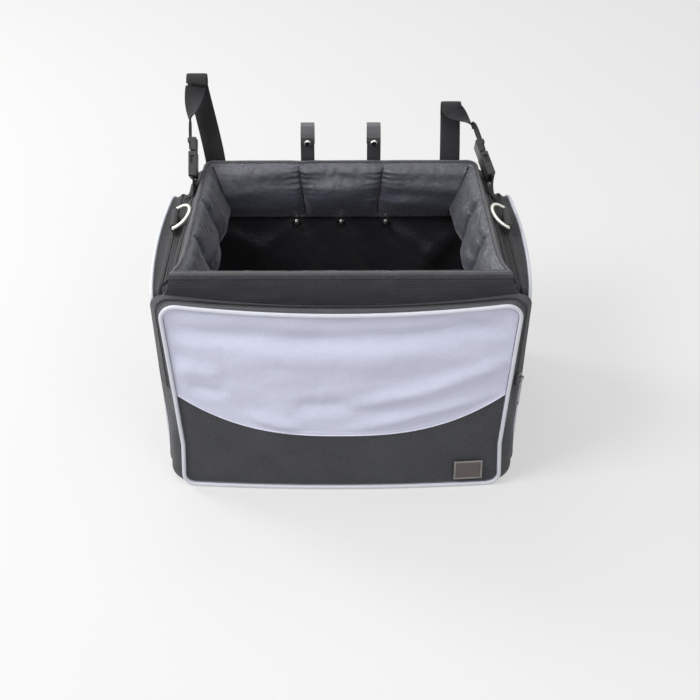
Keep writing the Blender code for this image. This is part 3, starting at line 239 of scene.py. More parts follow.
# Side pockets
SIDE_POCKET_FRONT = -0.1205
SIDE_POCKET_REAR = 0.115
SIDE_POCKET_DEPTH = 0.0155
SIDE_POCKET_CROWN = 0.008
SIDE_POCKET_SPLIT = 0.0085
SIDE_POCKET_BOTTOM = 0.004
SIDE_POCKET_TOP = 0.238
SIDE_POCKET_RISE = 0.0045
SIDE_POCKET_FOLD = 0.125
SIDE_POCKET_REAR_RADIUS = 0.032
SIDE_POCKET_FRONT_RADIUS = 0.012
SIDE_POCKET_BOTTOM_RADIUS = 0.012
SIDE_PIPING_RADIUS = 0.002
SIDE_POCKET_SIDE_FADE = 0.08
SIDE_POCKET_END_FADE = 0.014

# Zips and stitches
TOOTH_PITCH = 0.0016
TOOTH_RADIUS = 0.0011
TOOTH_RELIEF = 0.35
ZIP_TAPE = 0.0005
ZIP_TAPE_WIDTH = 0.0042
ZIP_TAPE_LIFT = 0.0006
COIL_SPLIT = 0.0007
COIL_LIFT = 0.0010
STITCH_PITCH = 0.0032
STITCH_LENGTH = 0.0021
STITCH_RADIUS = 0.00028

# Straps, as they lie round the bar
WEBBING_WIDTH = 0.024
WEBBING = 0.0016
SELVEDGE = 0.55
SELVEDGE_POWER = 8
STRAP_STEPS = 8
STRAP_LOOP_RADIUS = 0.0135
BAR_DEPTH = 0.165
FOOT_BOTTOM = 0.215
FOOT_GAP = 0.0035
SOCKET_LENGTH = 0.030
PLUG_LENGTH = 0.0165
PLUG_SADDLE = 0.0025
PLUG_TRAVEL = 0.016
BEND_CLEARANCE = 0.003
STRAP_TWIST = 1.6
STRAP_END = 0.003
ANCHOR_FOOT_Y = 0.066
ANCHOR_FOOT_Z = 0.2525
ANCHOR_LEAD = 0.006
ANCHOR_CLEARANCE = 0.0022

# For each side: the foot's x, the bar's x and height, the buckle socket's foot, and the plug's end
STRAPS = {
    "right": (0.132, 0.134, 0.312, (0.179, 0.0876, 0.2655), (0.1635, 0.124, 0.296)),
    "left": (0.152, 0.172, 0.350, (-0.175, 0.0835, 0.2695), (-0.175, 0.1115, 0.307)),
}

# D-rings and their tabs
RING_Y = 0.015
RING_X = 0.1925
RING_Z = 0.2535
RING_HALF = 0.0212
RING_REACH = 0.0215
RING_SHOULDER = 0.005
RING_LEAN = math.radians(146)
WIRE_RADIUS = 0.002
TAB_WIDTH = 0.037
TAB_PLY = 0.0015
TAB_FOOT_HALF = 0.0022
TAB_FOOT_INSET = 0.0018
TAB_EDGE = 0.0003
TAB_STEPS = 24
WIRE_PITCH = 0.0012

# Crumples: size, height and seed
SIDE_WALL_CRUMPLE = (0.05, 0.0005, 3)
FRONT_WALL_CRUMPLE = ((0.06, 0.06, 0.02), 0.0016, 5)
BACK_WALL_CRUMPLE = (0.06, 0.0006, 7)
LINING_CRUMPLE = (0.05, 0.0025, 11)
LINING_FLOOR_CRUMPLE = (0.07, 0.0012, 13)
RIM_CRUMPLE = (0.03, 0.00072, 23)
GUSSET_CRUMPLE = (0.03, 0.0016, 31)
GREY_CRUMPLE = ((0.06, 1, 0.025), 0.0022, 41)
GREY_TOP_CRUMPLE = ((0.010, 1, 0.05), 0.0012, 45)
GREY_TOP_REACH = 0.010
BLACK_CRUMPLE = (0.04, 0.0007, 43)
SIDE_CRUMPLE = (0.04, 0.0009, 51)

# Folds: start (along, up), end (along, up), width and height
FOLD_TAPER = 1.6
GREY_FOLDS = (
    ((-0.185, 0.217), (-0.050, 0.207), 0.0115, -0.0066),
    ((-0.050, 0.207), (0.065, 0.211), 0.0115, -0.0066),
    ((0.065, 0.211), (0.165, 0.227), 0.0105, -0.0058),
    ((-0.160, 0.188), (0.120, 0.184), 0.0200, 0.0036),
    ((-0.186, 0.196), (-0.150, 0.158), 0.0090, -0.0034),
    ((-0.176, 0.168), (-0.136, 0.161), 0.0100, 0.0042),
    ((-0.166, 0.142), (-0.132, 0.134), 0.0085, -0.0048),
    ((-0.050, 0.117), (0.004, 0.121), 0.0110, -0.0050),
    ((-0.100, 0.104), (-0.050, 0.087), 0.0080, 0.0044),
    ((0.020, 0.122), (0.100, 0.142), 0.0090, 0.0052),
    ((0.100, 0.142), (0.180, 0.174), 0.0105, 0.0052),
    ((0.024, 0.090), (0.150, 0.124), 0.0080, 0.0046),
    ((0.120, 0.234), (0.176, 0.212), 0.0085, -0.0036),
)
BLACK_FOLDS = (
    ((-0.170, 0.050), (-0.080, 0.030), 0.0160, 0.0018),
    ((0.060, 0.060), (0.165, 0.075), 0.0150, 0.0018),
    ((-0.060, 0.045), (0.070, 0.040), 0.0180, 0.0014),
)
SIDE_FOLDS = (
    ((-0.090, 0.190), (0.070, 0.215), 0.0130, 0.0030),
    ((-0.095, 0.168), (0.010, 0.150), 0.0100, -0.0026),
    ((-0.080, 0.112), (0.090, 0.095), 0.0150, 0.0034),
    ((0.020, 0.185), (0.100, 0.140), 0.0110, -0.0028),
    ((-0.100, 0.078), (-0.020, 0.060), 0.0100, -0.0024),
    ((-0.060, 0.040), (0.080, 0.058), 0.0140, 0.0028),
)
LINING_FOLDS = (
    ((-0.058, 0.188), (-0.012, 0.110), 0.0100, 0.0065),
    ((-0.004, 0.184), (0.040, 0.120), 0.0110, 0.0055),
    ((0.052, 0.188), (0.118, 0.130), 0.0120, 0.0065),
    ((-0.150, 0.175), (-0.070, 0.130), 0.0150, 0.0055),
    ((-0.050, 0.190), (-0.100, 0.150), 0.0090, 0.0045),
    ((0.150, 0.180), (0.080, 0.110), 0.0140, 0.0055),
)


def mix(low, high, share):
    return low + (high - low) * share


def ramp(distance, width):
    """0 at no distance, and 1 from this width on."""
    return np.clip(distance / width, 0, 1)


# Surfaces

class Surface:
    """A Principled material whose nodes are added one by one."""

    def __init__(self, name, slot, roughness, metallic=0.0, sockets=()):
        self.material = bpy.data.materials.new(name)
        self.material.use_nodes = True
        self.tree = self.material.node_tree
        self.shader = self.tree.nodes["Principled BSDF"]
        self.slot = slot
        self.shader.inputs["Roughness"].default_value = roughness
        self.shader.inputs["Metallic"].default_value = metallic
        for socket, value in dict(sockets).items():
            self.shader.inputs[socket].default_value = value
        self.places = self.tree.nodes.new("ShaderNodeTexCoord")
        self.last_normal = None

    def link(self, source, target):
        self.tree.links.new(source, target)

    def wave(self, pitch, direction, coordinates="UV"):
        """Bands of this pitch in metres."""
        node = self.tree.nodes.new("ShaderNodeTexWave")
        node.bands_direction = direction
        node.inputs["Scale"].default_value = math.tau / 20 / pitch
        self.link(self.places.outputs[coordinates], node.inputs["Vector"])
        return node.outputs["Fac"]

    def cloudy(self, size, detail=3.0):
        """Noise whose blotches are about this size in metres."""
        node = self.tree.nodes.new("ShaderNodeTexNoise")
        node.inputs["Scale"].default_value = 1 / size
        node.inputs["Detail"].default_value = detail
        self.link(self.places.outputs["Object"], node.inputs["Vector"])
        return node.outputs["Fac"]

    def combine(self, operation, first, second):
        node = self.tree.nodes.new("ShaderNodeMath")
        node.operation = operation
        for socket, value in zip(node.inputs, (first, second)):
            if isinstance(value, (int, float)):
                socket.default_value = value
            else:
                self.link(value, socket)
        return node.outputs[0]

    def weighted(self, *pairs):
        """The sum of some values, each times its weight."""
        total = None
        for value, weight in pairs:
            part = self.combine("MULTIPLY", value, weight)
            total = part if total is None else self.combine("ADD", total, part)
        return total

    def colours(self, fac, *stops):
        """Colours the surface between two (place, colour) stops."""
        node = self.tree.nodes.new("ShaderNodeValToRGB")
        for element, (place, colour) in zip(node.color_ramp.elements, stops):
            element.position = place
            element.color = (*colour, 1.0)
        self.link(fac, node.inputs["Fac"])
        self.link(node.outputs["Color"], self.shader.inputs["Base Color"])

    def relief(self, height, distance):
        node = self.tree.nodes.new("ShaderNodeBump")
        node.inputs["Distance"].default_value = distance
        self.link(height, node.inputs["Height"])
        if self.last_normal is not None:
            self.link(self.last_normal, node.inputs["Normal"])
        self.last_normal = node.outputs["Normal"]
        self.link(self.last_normal, self.shader.inputs["Normal"])

    def rough(self, fac, low, high):
        node = self.tree.nodes.new("ShaderNodeMapRange")
        node.inputs["To Min"].default_value = low
        node.inputs["To Max"].default_value = high
        self.link(fac, node.inputs["Value"])
        self.link(node.outputs["Result"], self.shader.inputs["Roughness"])


def scaled(colour, factor):
    return tuple(channel * factor for channel in colour)


def woven(name, slot, colour, roughness, pitch, relief, variation=0.25):
    """Plain weave: crossed threads with painted shade between them, uneven dye and small crumples."""
    surface = Surface(name, slot, roughness, sockets={"Sheen Weight": 0.1, "Sheen Roughness": 0.5})
    weave = surface.combine("ADD", surface.wave(pitch, "X"), surface.wave(pitch, "Y"))
    blotch = surface.cloudy(0.03)
    speck = surface.cloudy(0.0022, 1.0)
    mixed = surface.weighted((weave, 0.10), (blotch, 0.35), (speck, 0.45))
    # The weave's share of the colour is painted shade between the threads; the noise is uneven dye.
    surface.colours(mixed, (0.15, scaled(colour, 1 - variation)), (0.85, scaled(colour, 1 + variation)))
    surface.relief(surface.cloudy(0.014, 2.0), 0.0010)
    surface.relief(weave, relief)
    return surface


def satin(name, slot, colour, roughness):
    """Smooth quilting nylon: a close shiny weave with painted shade between its threads, and fine crumples.
    """
    gloss = {"Sheen Weight": 0.35, "Sheen Roughness": 0.35, "Specular IOR Level": 0.7}
    surface = Surface(name, slot, roughness, sockets=gloss)
    weave = surface.combine("ADD", surface.wave(0.0007, "X"), surface.wave(0.0007, "Y"))
    blotch = surface.cloudy(0.022)
    mixed = surface.weighted((weave, 0.15), (blotch, 0.7))
    # The weave's share of the colour is painted shade between the threads; the blotches are uneven tone.
    surface.colours(mixed, (0.2, scaled(colour, 0.82)), (0.8, scaled(colour, 1.16)))
    surface.relief(surface.cloudy(0.009, 3.0), 0.0010)
    surface.relief(weave, 0.00006)
    surface.rough(blotch, roughness - 0.06, roughness + 0.1)
    return surface


def ribbed(name, slot, colour, roughness, pitch, relief):
    """Webbing: close ribs across its width, in a coarse thread, with painted shade in the grooves between
    ribs and threads.
    """
    gloss = {"Sheen Weight": 0.05, "Sheen Roughness": 0.4, "Specular IOR Level": 0.25}
    surface = Surface(name, slot, roughness, sockets=gloss)
    ribs = surface.wave(pitch, "Y")
    threads = surface.wave(pitch * 0.8, "X")
    mixed = surface.weighted((ribs, 0.5), (threads, 0.3), (surface.cloudy(0.002, 1.0), 0.2))
    # The ribs and threads darken the colour in their grooves: painted shade.
    surface.colours(mixed, (0.2, scaled(colour, 0.65)), (0.8, scaled(colour, 1.3)))
    surface.relief(mixed, relief)
    return surface


def solid(name, slot, colour, roughness, metallic, grain, relief, variation=0.12):
    """Plastic, rubber or metal with a fine grain and slightly uneven polish."""
    surface = Surface(name, slot, roughness, metallic)
    fine = surface.cloudy(grain, 2.0)
    broad = surface.cloudy(grain * 16, 2.0)
    surface.colours(broad, (0.3, scaled(colour, 1 - variation)), (0.7, scaled(colour, 1 + variation)))
    surface.rough(fine, roughness - 0.05, roughness + 0.08)
    surface.relief(fine, relief)
    return surface


def threaded(name, slot, colour, roughness, pitch, relief):
    """Bright steel with a rolled thread along Y, its grooves painted darker as shade."""
    surface = Surface(name, slot, roughness, 1.0)
    thread = surface.wave(pitch, "Y", "Object")
    # Painted shade: the thread's grooves are coloured darker than its crests.
    surface.colours(thread, (0.1, scaled(colour, 0.45)), (0.7, colour))
    surface.relief(thread, relief)
    surface.rough(surface.cloudy(0.002, 2.0), roughness - 0.05, roughness + 0.1)
    return surface


def oxford(name, colour, roughness=0.80, pitch=0.0016, relief=0.00018, variation=0.6):
    """Black polyester cloth."""
    return woven(name, "black_polyester", colour, roughness, pitch, relief, variation)


def nylon(name, colour, roughness, variation):
    """Fine grey cloth."""
    return woven(name, "grey_nylon", colour, roughness, 0.0012, 0.00006, variation)


black_cloth = oxford("black_oxford_cloth", (0.036, 0.037, 0.043))
# The black oxford cloth again at about half its brightness: painted shade for the tub's sides and side
# pocket gussets.
shaded_side_cloth = oxford("black_side_cloth_painted_shade", (0.016, 0.0162, 0.019))
# A lighter copy of the black cloth for the rim fold's outer face: painted highlight where light catches the
# fold.
rim_highlight_cloth = oxford("rim_fold_painted_highlight", (0.066, 0.066, 0.070), 0.60, 0.0012, 0.00012, 0.4)
band_cloth = oxford("black_rim_cloth", (0.040, 0.039, 0.045), 0.70, 0.0027, 0.00022)
grey_cloth = nylon("lilac_grey_nylon", (0.560, 0.570, 0.700), 0.52, 0.10)
# A lighter copy of the grey nylon for the arc's rolled edge: painted highlight along the fold.
hem_highlight_cloth = nylon("lilac_grey_hem_painted_highlight", (0.660, 0.670, 0.780), 0.55, 0.08)
# Dark grey-lilac cloth: painted shadow of the seam just inside the front piping.
seam_shadow_cloth = nylon("painted_seam_shadow", (0.15, 0.15, 0.20), 0.7, 0.10)
lining_cloth = woven("black_lining_cloth", "lining_cloth", (0.013, 0.013, 0.016), 0.34, 0.0016, 0.00010)
tape_cloth = woven("zip_tape_cloth", "webbing", (0.030, 0.030, 0.035), 0.75, 0.0010, 0.00014)
silver = (0.57, 0.585, 0.64)
piping_cloth = woven("silver_grey_piping", "reflective_piping", silver, 0.42, 0.0012, 0.00004, 0.06)
quilting = satin("quilted_satin_nylon", "quilted_nylon", (0.052, 0.054, 0.070), 0.27)
webbing = ribbed("black_webbing", "webbing", (0.014, 0.014, 0.016), 0.68, 0.0014, 0.00030)
tab_webbing = ribbed("grey_black_webbing", "webbing", (0.040, 0.040, 0.042), 0.68, 0.0014, 0.00030)
coil = solid("zip_coil_nylon", "webbing", (0.020, 0.020, 0.022), 0.42, 0.0, 0.002, 0.00005)
black_thread = solid("black_thread", "webbing", (0.026, 0.026, 0.030), 0.6, 0.0, 0.0006, 0.00005)
grey_thread = solid("pale_thread", "grey_nylon", (0.68, 0.69, 0.80), 0.5, 0.0, 0.0006, 0.00005)
plastic = solid("black_moulded_plastic", "black_plastic", (0.026, 0.026, 0.028), 0.36, 0.0, 0.0009, 0.00004)
board = solid("stiff_board", "board", (0.09, 0.09, 0.09), 0.65, 0.0, 0.001, 0.00005)
gunmetal = solid("gunmetal_zip", "black_steel", (0.26, 0.26, 0.27), 0.30, 0.8, 0.0009, 0.00003)
nut_steel = solid("blackened_nut", "black_steel", (0.42, 0.42, 0.43), 0.18, 1.0, 0.0012, 0.00004)
rail_coat = solid("black_powder_coat", "black_steel", (0.030, 0.030, 0.031), 0.5, 0.3, 0.0007, 0.00006)
hook_coat = solid("satin_grey_steel", "grey_hook", (0.085, 0.085, 0.092), 0.36, 0.5, 0.0012, 0.00004)
zinc = threaded("bright_zinc_thread", "bright_zinc", (0.80, 0.80, 0.79), 0.20, 0.001, 0.00012)
nickel = solid("nickel_wire", "nickel", (0.90, 0.88, 0.80), 0.34, 0.7, 0.003, 0.00002, 0.05)
patch_rubber = solid("bare_patch_rubber", "label_rubber", (0.090, 0.074, 0.070), 0.55, 0.0, 0.0008, 0.00008)
patch_border = solid("patch_border_rubber", "label_rubber", (0.27, 0.25, 0.24), 0.5, 0.0, 0.0008, 0.00006)


# Making of pieces

def add_piece(name, points, faces, surface, body, uvs=None, sharp=50):
    """A piece from points and faces. uvs gives a (u, v) in metres for each corner of each face."""
    mesh = bpy.data.meshes.new(name)
    mesh.from_pydata([tuple(point) for point in points], [], faces)
    if uvs is not None:
        layer = mesh.uv_layers.new(name="UVMap")
        layer.data.foreach_set("uv", np.asarray(uvs, np.float32).ravel())
    work = bmesh.new()
    work.from_mesh(mesh)
    bmesh.ops.recalc_face_normals(work, faces=work.faces)
    work.to_mesh(mesh)
    work.free()
    mesh.shade_smooth()
    mesh.set_sharp_from_angle(angle=math.radians(sharp))
    mesh.materials.append(surface.material)
    piece = bpy.data.objects.new(name, mesh)
    bpy.context.scene.collection.objects.link(piece)
    if body:
        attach(piece, body)
    return piece


def grid_normals(grid, looped):
    if looped:
        along = np.roll(grid, -1, 1) - np.roll(grid, 1, 1)
    else:
        along = np.gradient(grid, axis=1)
    normal = np.cross(along, np.gradient(grid, axis=0))
    length = np.linalg.norm(normal, axis=2, keepdims=True)
    return normal / np.where(length > 0, length, 1)


def spread(grid, axis):
    """Mean distance along the grid from its first row or column."""
    steps = np.linalg.norm(np.diff(grid, axis=axis), axis=2).mean(1 - axis)
    return np.concatenate([[0], np.cumsum(steps)])


def skin(grid, looped, start=0):
    """Quads over a grid of points, with the (u, v) of each corner."""
    rows, columns = grid.shape[:2]
    around = columns if looped else columns - 1
    across = spread(np.concatenate([grid, grid[:, :1]], 1) if looped else grid, 1)
    up = spread(grid, 0)
    faces, uvs = [], []
    for row in range(rows - 1):
        for column in range(around):
            after = (column + 1) % columns
            low, high = start + row * columns, start + (row + 1) * columns
            faces.append((low + column, low + after, high + after, high + column))
            uvs += [(across[column], up[row]), (across[column + 1], up[row])]
            uvs += [(across[column + 1], up[row + 1]), (across[column], up[row + 1])]
    return faces, uvs


def outward_normals(grid, inside, looped):
    """The grid's unit normals, turned away from the point inside."""
    normal = grid_normals(grid, looped)
    return -normal if np.sum(normal * (np.asarray(inside) - grid)) > 0 else normal


def cloth(name, grid, thickness, surface, body, inside, looped=False):
    """A sheet whose outer face is the grid and whose thickness goes towards the point inside."""
    grid = np.asarray(grid, float)
    under = grid - outward_normals(grid, inside, looped) * thickness
    rows, columns = grid.shape[:2]
    shift = rows * columns
    faces, uvs = skin(grid, looped)
    under_faces, under_uvs = skin(under, looped, shift)
    faces += under_faces
    uvs += under_uvs
    first = list(range(columns))
    last = [(rows - 1) * columns + column for column in range(columns)]
    if looped:
        edges = [first + first[:1], last + last[:1]]
    else:
        right = [row * columns + columns - 1 for row in range(rows)]
        left = [row * columns for row in range(rows)]
        edges = [first, last, left, right]
    for edge in edges:
        for here, after in zip(edge, edge[1:]):
            faces.append((here, after, shift + after, shift + here))
            uvs += [(0, 0), (thickness, 0), (thickness, thickness), (0, thickness)]
    points = np.concatenate([grid.reshape(-1, 3), under.reshape(-1, 3)])
    return add_piece(name, points, faces, surface, body, uvs)


def loft(name, rings, surface, body, looped=False, sharp=50):
    """Closed rings of equally many points, joined in a row. Looped joins the last to the first."""
    rings = np.asarray(rings, float)
    if looped:
        rings = np.concatenate([rings, rings[:1]])
    faces, uvs = skin(rings, True)
    count = rings.shape[1]
    if looped:
        total = (len(rings) - 1) * count
        faces = [tuple(index % total for index in face) for face in faces]
        rings = rings[:-1]
    else:
        for end in (range(count), range((len(rings) - 1) * count, len(rings) * count)):
            faces.append(tuple(end))
            uvs += [(0, 0)] * count
    return add_piece(name, rings.reshape(-1, 3), faces, surface, body, uvs, sharp)


def resample(path, pitch, looped=False):
    """The same line with points at an even pitch."""
    path = np.asarray(path, float)
    if looped:
        path = np.concatenate([path, path[:1]])
    along = np.concatenate([[0], np.cumsum(np.linalg.norm(np.diff(path, axis=0), axis=1))])
    count = max(2, round(along[-1] / pitch) + 1)
    places = np.linspace(0, along[-1], count)
    made = np.stack([np.interp(places, along, path[:, axis]) for axis in range(3)], 1)
    return made[:-1] if looped else made


def tangents(path, looped):
    if looped:
        step = np.roll(path, -1, 0) - np.roll(path, 1, 0)
    else:
        step = np.gradient(path, axis=0)
    return step / np.linalg.norm(step, axis=1, keepdims=True)


def tube(name, path, radii, sides, surface, body, looped=False):
    """A round tube along a path. radii is one radius, or one for each point."""
    path = np.asarray(path, float)
    radii = np.broadcast_to(radii, len(path))
    rings = []
    across = None
    for place, along, radius in zip(path, tangents(path, looped), radii):
        if across is None:
            across = np.cross(along, (0.3, 0.5, 0.8))
        across = across - along * np.dot(across, along)
        across = across / np.linalg.norm(across)
        out = np.cross(along, across)
        angles = np.arange(sides) * math.tau / sides
        rings.append(place + radius * (np.outer(np.cos(angles), across) + np.outer(np.sin(angles), out)))
    return loft(name, rings, surface, body, looped)


def teeth(name, path, body):
    """A zip's coil, whose turns swell and shrink along it."""
    path = resample(path, TOOTH_PITCH / 4)
    turn = np.arange(len(path)) * math.pi / 2
    tube(name, path, TOOTH_RADIUS * (1 + TOOTH_RELIEF * np.cos(turn)), 6, coil, body)


def stitching(name, path, out, surface, body, looped=False):
    """A row of short threads along a path, which lie on the cloth that faces out."""
    path = resample(path, STITCH_PITCH, looped)
    along = tangents(path, looped)
    out = np.asarray(out, float)
    points, faces = [], []
    for place, way in zip(path, along):
        across = np.cross(way, out)
        across = across / np.linalg.norm(across)
        up = np.cross(across, way)
        start = len(points)
        half = STITCH_LENGTH / 2
        points += [place - way * half - up * STITCH_RADIUS, place + way * half - up * STITCH_RADIUS]
        for step in (-0.5, 0.5):
            middle = place + way * half * step
            points += [middle + side * STITCH_RADIUS for side in (-across, up, across)]
        base, tip = start, start + 1
        first = [start + 2, start + 3, start + 4]
        second = [start + 5, start + 6, start + 7]
        for k in range(3):
            after = (k + 1) % 3
            faces.append((base, first[k], first[after]))
            faces.append((first[k], second[k], second[after], first[after]))
            faces.append((tip, second[after], second[k]))
    return add_piece(name, points, faces, surface, body, sharp=80)


def crumple(points, size, height, seed):
    """Smooth random lift for each of these points. size is one length, or one for each axis."""
    flat = np.asarray(points, float).reshape(-1, 3) / size
    lift = [noise.noise(Vector(point) + Vector((seed, seed, seed))) for point in flat]
    return np.array(lift).reshape(np.asarray(points).shape[:-1]) * height


def fold_lift(a, z, folds):
    """Height of the long soft folds at (a, z)."""
    lift = np.zeros(np.broadcast(a, z).shape)
    for (a0, z0), (a1, z1), width, height in folds:
        along = np.array((a1 - a0, z1 - z0))
        length = np.linalg.norm(along)
        along = along / length
        share = ((a - a0) * along[0] + (z - z0) * along[1]) / length
        off = (a - a0) * along[1] - (z - z0) * along[0]
        fade = np.clip(share * FOLD_TAPER + 0.5, 0, 1) * np.clip((1 - share) * FOLD_TAPER + 0.5, 0, 1)
        lift += height * np.exp(-((off / width) ** 2)) * fade * fade * (3 - 2 * fade)
    return lift


# Tub

def side_half(y, z):
    """Half width of the tub's outer face at this depth and height."""
    share = (y - FRONT_Y) / BOX_DEPTH
    base = mix(FRONT_BASE_HALF, REAR_BASE_HALF, share)
    shoulder = mix(FRONT_SHOULDER_HALF, REAR_SHOULDER_HALF, share)
    flare = RIM_FLARE * np.maximum(0, 1 - (y - FRONT_Y) / RIM_FLARE_DEPTH) ** 2
    rim = mix(FRONT_RIM_HALF, REAR_RIM_HALF, share) + flare
    low = mix(base, shoulder, np.minimum(1, z / SHOULDER_HEIGHT))
    high = mix(shoulder, rim, np.clip((z - SHOULDER_HEIGHT) / (WALL_TOP - SHOULDER_HEIGHT), 0, 1))
    return np.where(z <= SHOULDER_HEIGHT, low, high)


def side_line(z, inset, rear_inset, front_y):
    """The right wall's line from the front to the end of the rear corner, inset from the outer face."""
    bend = min(REAR_CORNER_Y, BACK_Y - rear_inset)
    ys = mix(front_y, bend, np.linspace(0, 1, SIDE_STEPS) ** SIDE_CROWDING)
    line = [(side_half(y, z) - inset, y, z) for y in ys]
    centre = side_half(REAR_CORNER_Y, z) - CORNER_RADIUS
    for angle in np.linspace(0, math.pi / 2, CORNER_STEPS)[1:]:
        x = centre + (CORNER_RADIUS - inset) * math.cos(angle)
        line.append((x, bend + max(0, CORNER_RADIUS - rear_inset) * math.sin(angle), z))
    return np.array(line, float)


def corner_cut(y):
    """How much narrower the tub is at y for its round rear corners."""
    past = max(0, min(y - REAR_CORNER_Y, CORNER_RADIUS))
    return CORNER_RADIUS - math.sqrt(CORNER_RADIUS**2 - past**2)


def mirrored(points, sign):
    points = np.array(points, float)
    points[..., 0] *= sign
    return points


def round_the_back(right):
    """The right wall's line, the back's and the left wall's."""
    back = np.linspace(right[-1], right[-1] * (-1, 1, 1), 60)[1:-1]
    return np.concatenate([right, back, mirrored(right[::-1], -1)])


def plan_loop(z, inset, rear_inset, front_inset):
    """The tub's closed outline in plan at this height."""
    right = side_line(z, inset, rear_inset, FRONT_Y + front_inset)
    front = np.linspace(right[0] * (-1, 1, 1), right[0], 70)[1:-1]
    return np.concatenate([round_the_back(right), front])


def flat_row(half, y, z, count):
    return [(x, y, z) for x in np.linspace(-half, half, count)]


def wall(name, rows, thickness, surface, node):
    piece = cloth(name, rows, thickness, surface, "box", BOX_MIDDLE)
    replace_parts(piece, node)


def build_walls():
    upper = np.linspace(SHOULDER_HEIGHT, WALL_TOP, 6)[1:]
    heights = np.concatenate([np.linspace(PANEL_FOOT, SHOULDER_HEIGHT, 24), upper])
    for side, sign in SIDES:
        rows = np.array([side_line(z, 0, 0, FRONT_Y + PANEL_FOOT) for z in heights])
        rows[..., 0] -= np.abs(crumple(rows, *SIDE_WALL_CRUMPLE))
        # The side walls use the darker side cloth, which paints shade on them.
        wall("side_wall_" + side, mirrored(rows, sign), WALL_CLOTH, shaded_side_cloth, "side_panel_" + side)
    rows = []
    for z in np.linspace(PANEL_FOOT, FRONT_WALL_TOP, 60):
        rows.append(flat_row(np.interp(z, FRONT_WALL_HEIGHTS, FRONT_WALL_HALVES), FRONT_Y, z, 110))
    rows = np.array(rows)
    rows[..., 1] += np.abs(crumple(rows, *FRONT_WALL_CRUMPLE))
    wall("front_wall", rows, FRONT_WALL_CLOTH, band_cloth, "front_panel")
    seam = [(x, FRONT_Y - GAP, RIM_SEAM_HEIGHT) for x in (-RIM_SEAM_HALF, RIM_SEAM_HALF)]
    stitching("front_wall_stitches", seam, (0, -1, 0), black_thread, "box")
    inset = CORNER_RADIUS + GAP
    rows = np.array([flat_row(side_half(REAR_CORNER_Y, z) - inset, BACK_Y, z, 60) for z in heights])
    rows[..., 1] -= np.abs(crumple(rows, *BACK_WALL_CRUMPLE))
    wall("back_wall", rows, WALL_CLOTH, black_cloth, "back_panel")
    rows = []
    for y in np.linspace(FRONT_Y, BACK_Y, 30):
        half = mix(FRONT_BASE_HALF, REAR_BASE_HALF, (y - FRONT_Y) / BOX_DEPTH) - corner_cut(y)
        rows.append(flat_row(half, y, 0, 40))
    wall("base_cloth", rows, BASE_CLOTH, black_cloth, "base_panel")


def build_lining():
    """The loose inner cloth: four sides and a floor."""
    side = WALL + GAP
    back = side + BACK_BOARD_ROOM
    heights = np.concatenate([np.linspace(FLOOR_TOP, SHOULDER_HEIGHT, 40), LINING_TOP_LEVELS])
    grid = np.array([plan_loop(z, side, back, side) for z in heights])
    a, y, z = np.moveaxis(grid, 2, 0)
    lift = np.abs(crumple(grid, *LINING_CRUMPLE))
    lift += np.where(y > REAR_CORNER_Y, fold_lift(a, z, LINING_FOLDS), 0)
    loose = ramp(PAD_BOTTOM - z, LINING_SLACK_TOP) * ramp(z - FLOOR_TOP, LINING_SLACK_FOOT)
    out = outward_normals(grid, BOX_MIDDLE, True)
    grid = grid - out * (lift * loose + LINING)[..., None]
    piece = cloth("lining_cloth", grid, LINING_CLOTH, lining_cloth, "box", (0, 0, -10), looped=True)
    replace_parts(piece, "inner_lining")
    rows = []
    for y in np.linspace(FRONT_Y + side + LINING * 2, BACK_Y - back - LINING * 2, 40):
        half = side_half(y, FLOOR_TOP) - side - LINING * 2 - corner_cut(y)
        rows.append(flat_row(half, y, FLOOR_TOP + LINING, 50))
    rows = np.array(rows)
    rows[..., 2] += np.abs(crumple(rows, *LINING_FLOOR_CRUMPLE))
    cloth("lining_floor", rows, LINING_CLOTH, lining_cloth, "box", (0, 0, -1))


# Padded rim

def off_channel(share):
    """Distance to the nearest sewn channel, as a share of the pad's length."""
    return np.min([np.abs(share - step / PAD_SEGMENTS) for step in range(1, PAD_SEGMENTS)], axis=0)


def channel(share, least, width):
    """Fullness of a pad along its length: 1 between the sewn channels, and least at each."""
    return mix(least, 1, np.sqrt(np.minimum(1, off_channel(share) / width)))


def pad_relief(share, length, z, rows, points, seed, depth=CHANNEL_DEPTH, pucker=PUCKER):
    """What the sewing does to the pad's face: sharp channels, puckers beside them, and long creases."""
    off = off_channel(share) * length
    middle = np.sin(math.pi * rows)
    sunk = (1 - channel(share, 0, SEAM_WIDTH_SHARE)) * depth * middle**CHANNEL_EASE
    wander = crumple(points, *PUCKER_WANDER, seed + 1)
    puckers = pucker * np.exp(-off / PUCKER_REACH) * np.sin(z * math.tau / PUCKER_PITCH + wander)
    puckers *= np.minimum(1, off / PUCKER_START)
    creases = crumple(points, CRUMPLE_SIZE, CRUMPLE, seed)
    turn = ramp(rows - 1 + PAD_SHOULDER_SHARE, PAD_SHOULDER_SHARE)
    shoulder = PAD_SHOULDER * (1 - np.sqrt(1 - turn**2))
    gathers = crumple(points, GATHER_SIZE, GATHER, seed + 2) * rows**3
    return (puckers + creases) * middle**0.5 + gathers * np.minimum(1, 2 * middle**0.5) - sunk - shoulder


def pad_depth(row, crown, skew, fullness):
    """How far the pad's face stands off the lining at this share of its height."""
    return mix(PAD_EDGE, PAD_TOP_THICKNESS, row) + crown * np.sin(math.pi * row**skew) * fullness


def side_pad_face(y, row, fullness):
    return side_half(y, WALL_TOP) - SIDE_INSET - pad_depth(row, SIDE_PAD_CROWN, SIDE_PAD_SKEW, fullness)


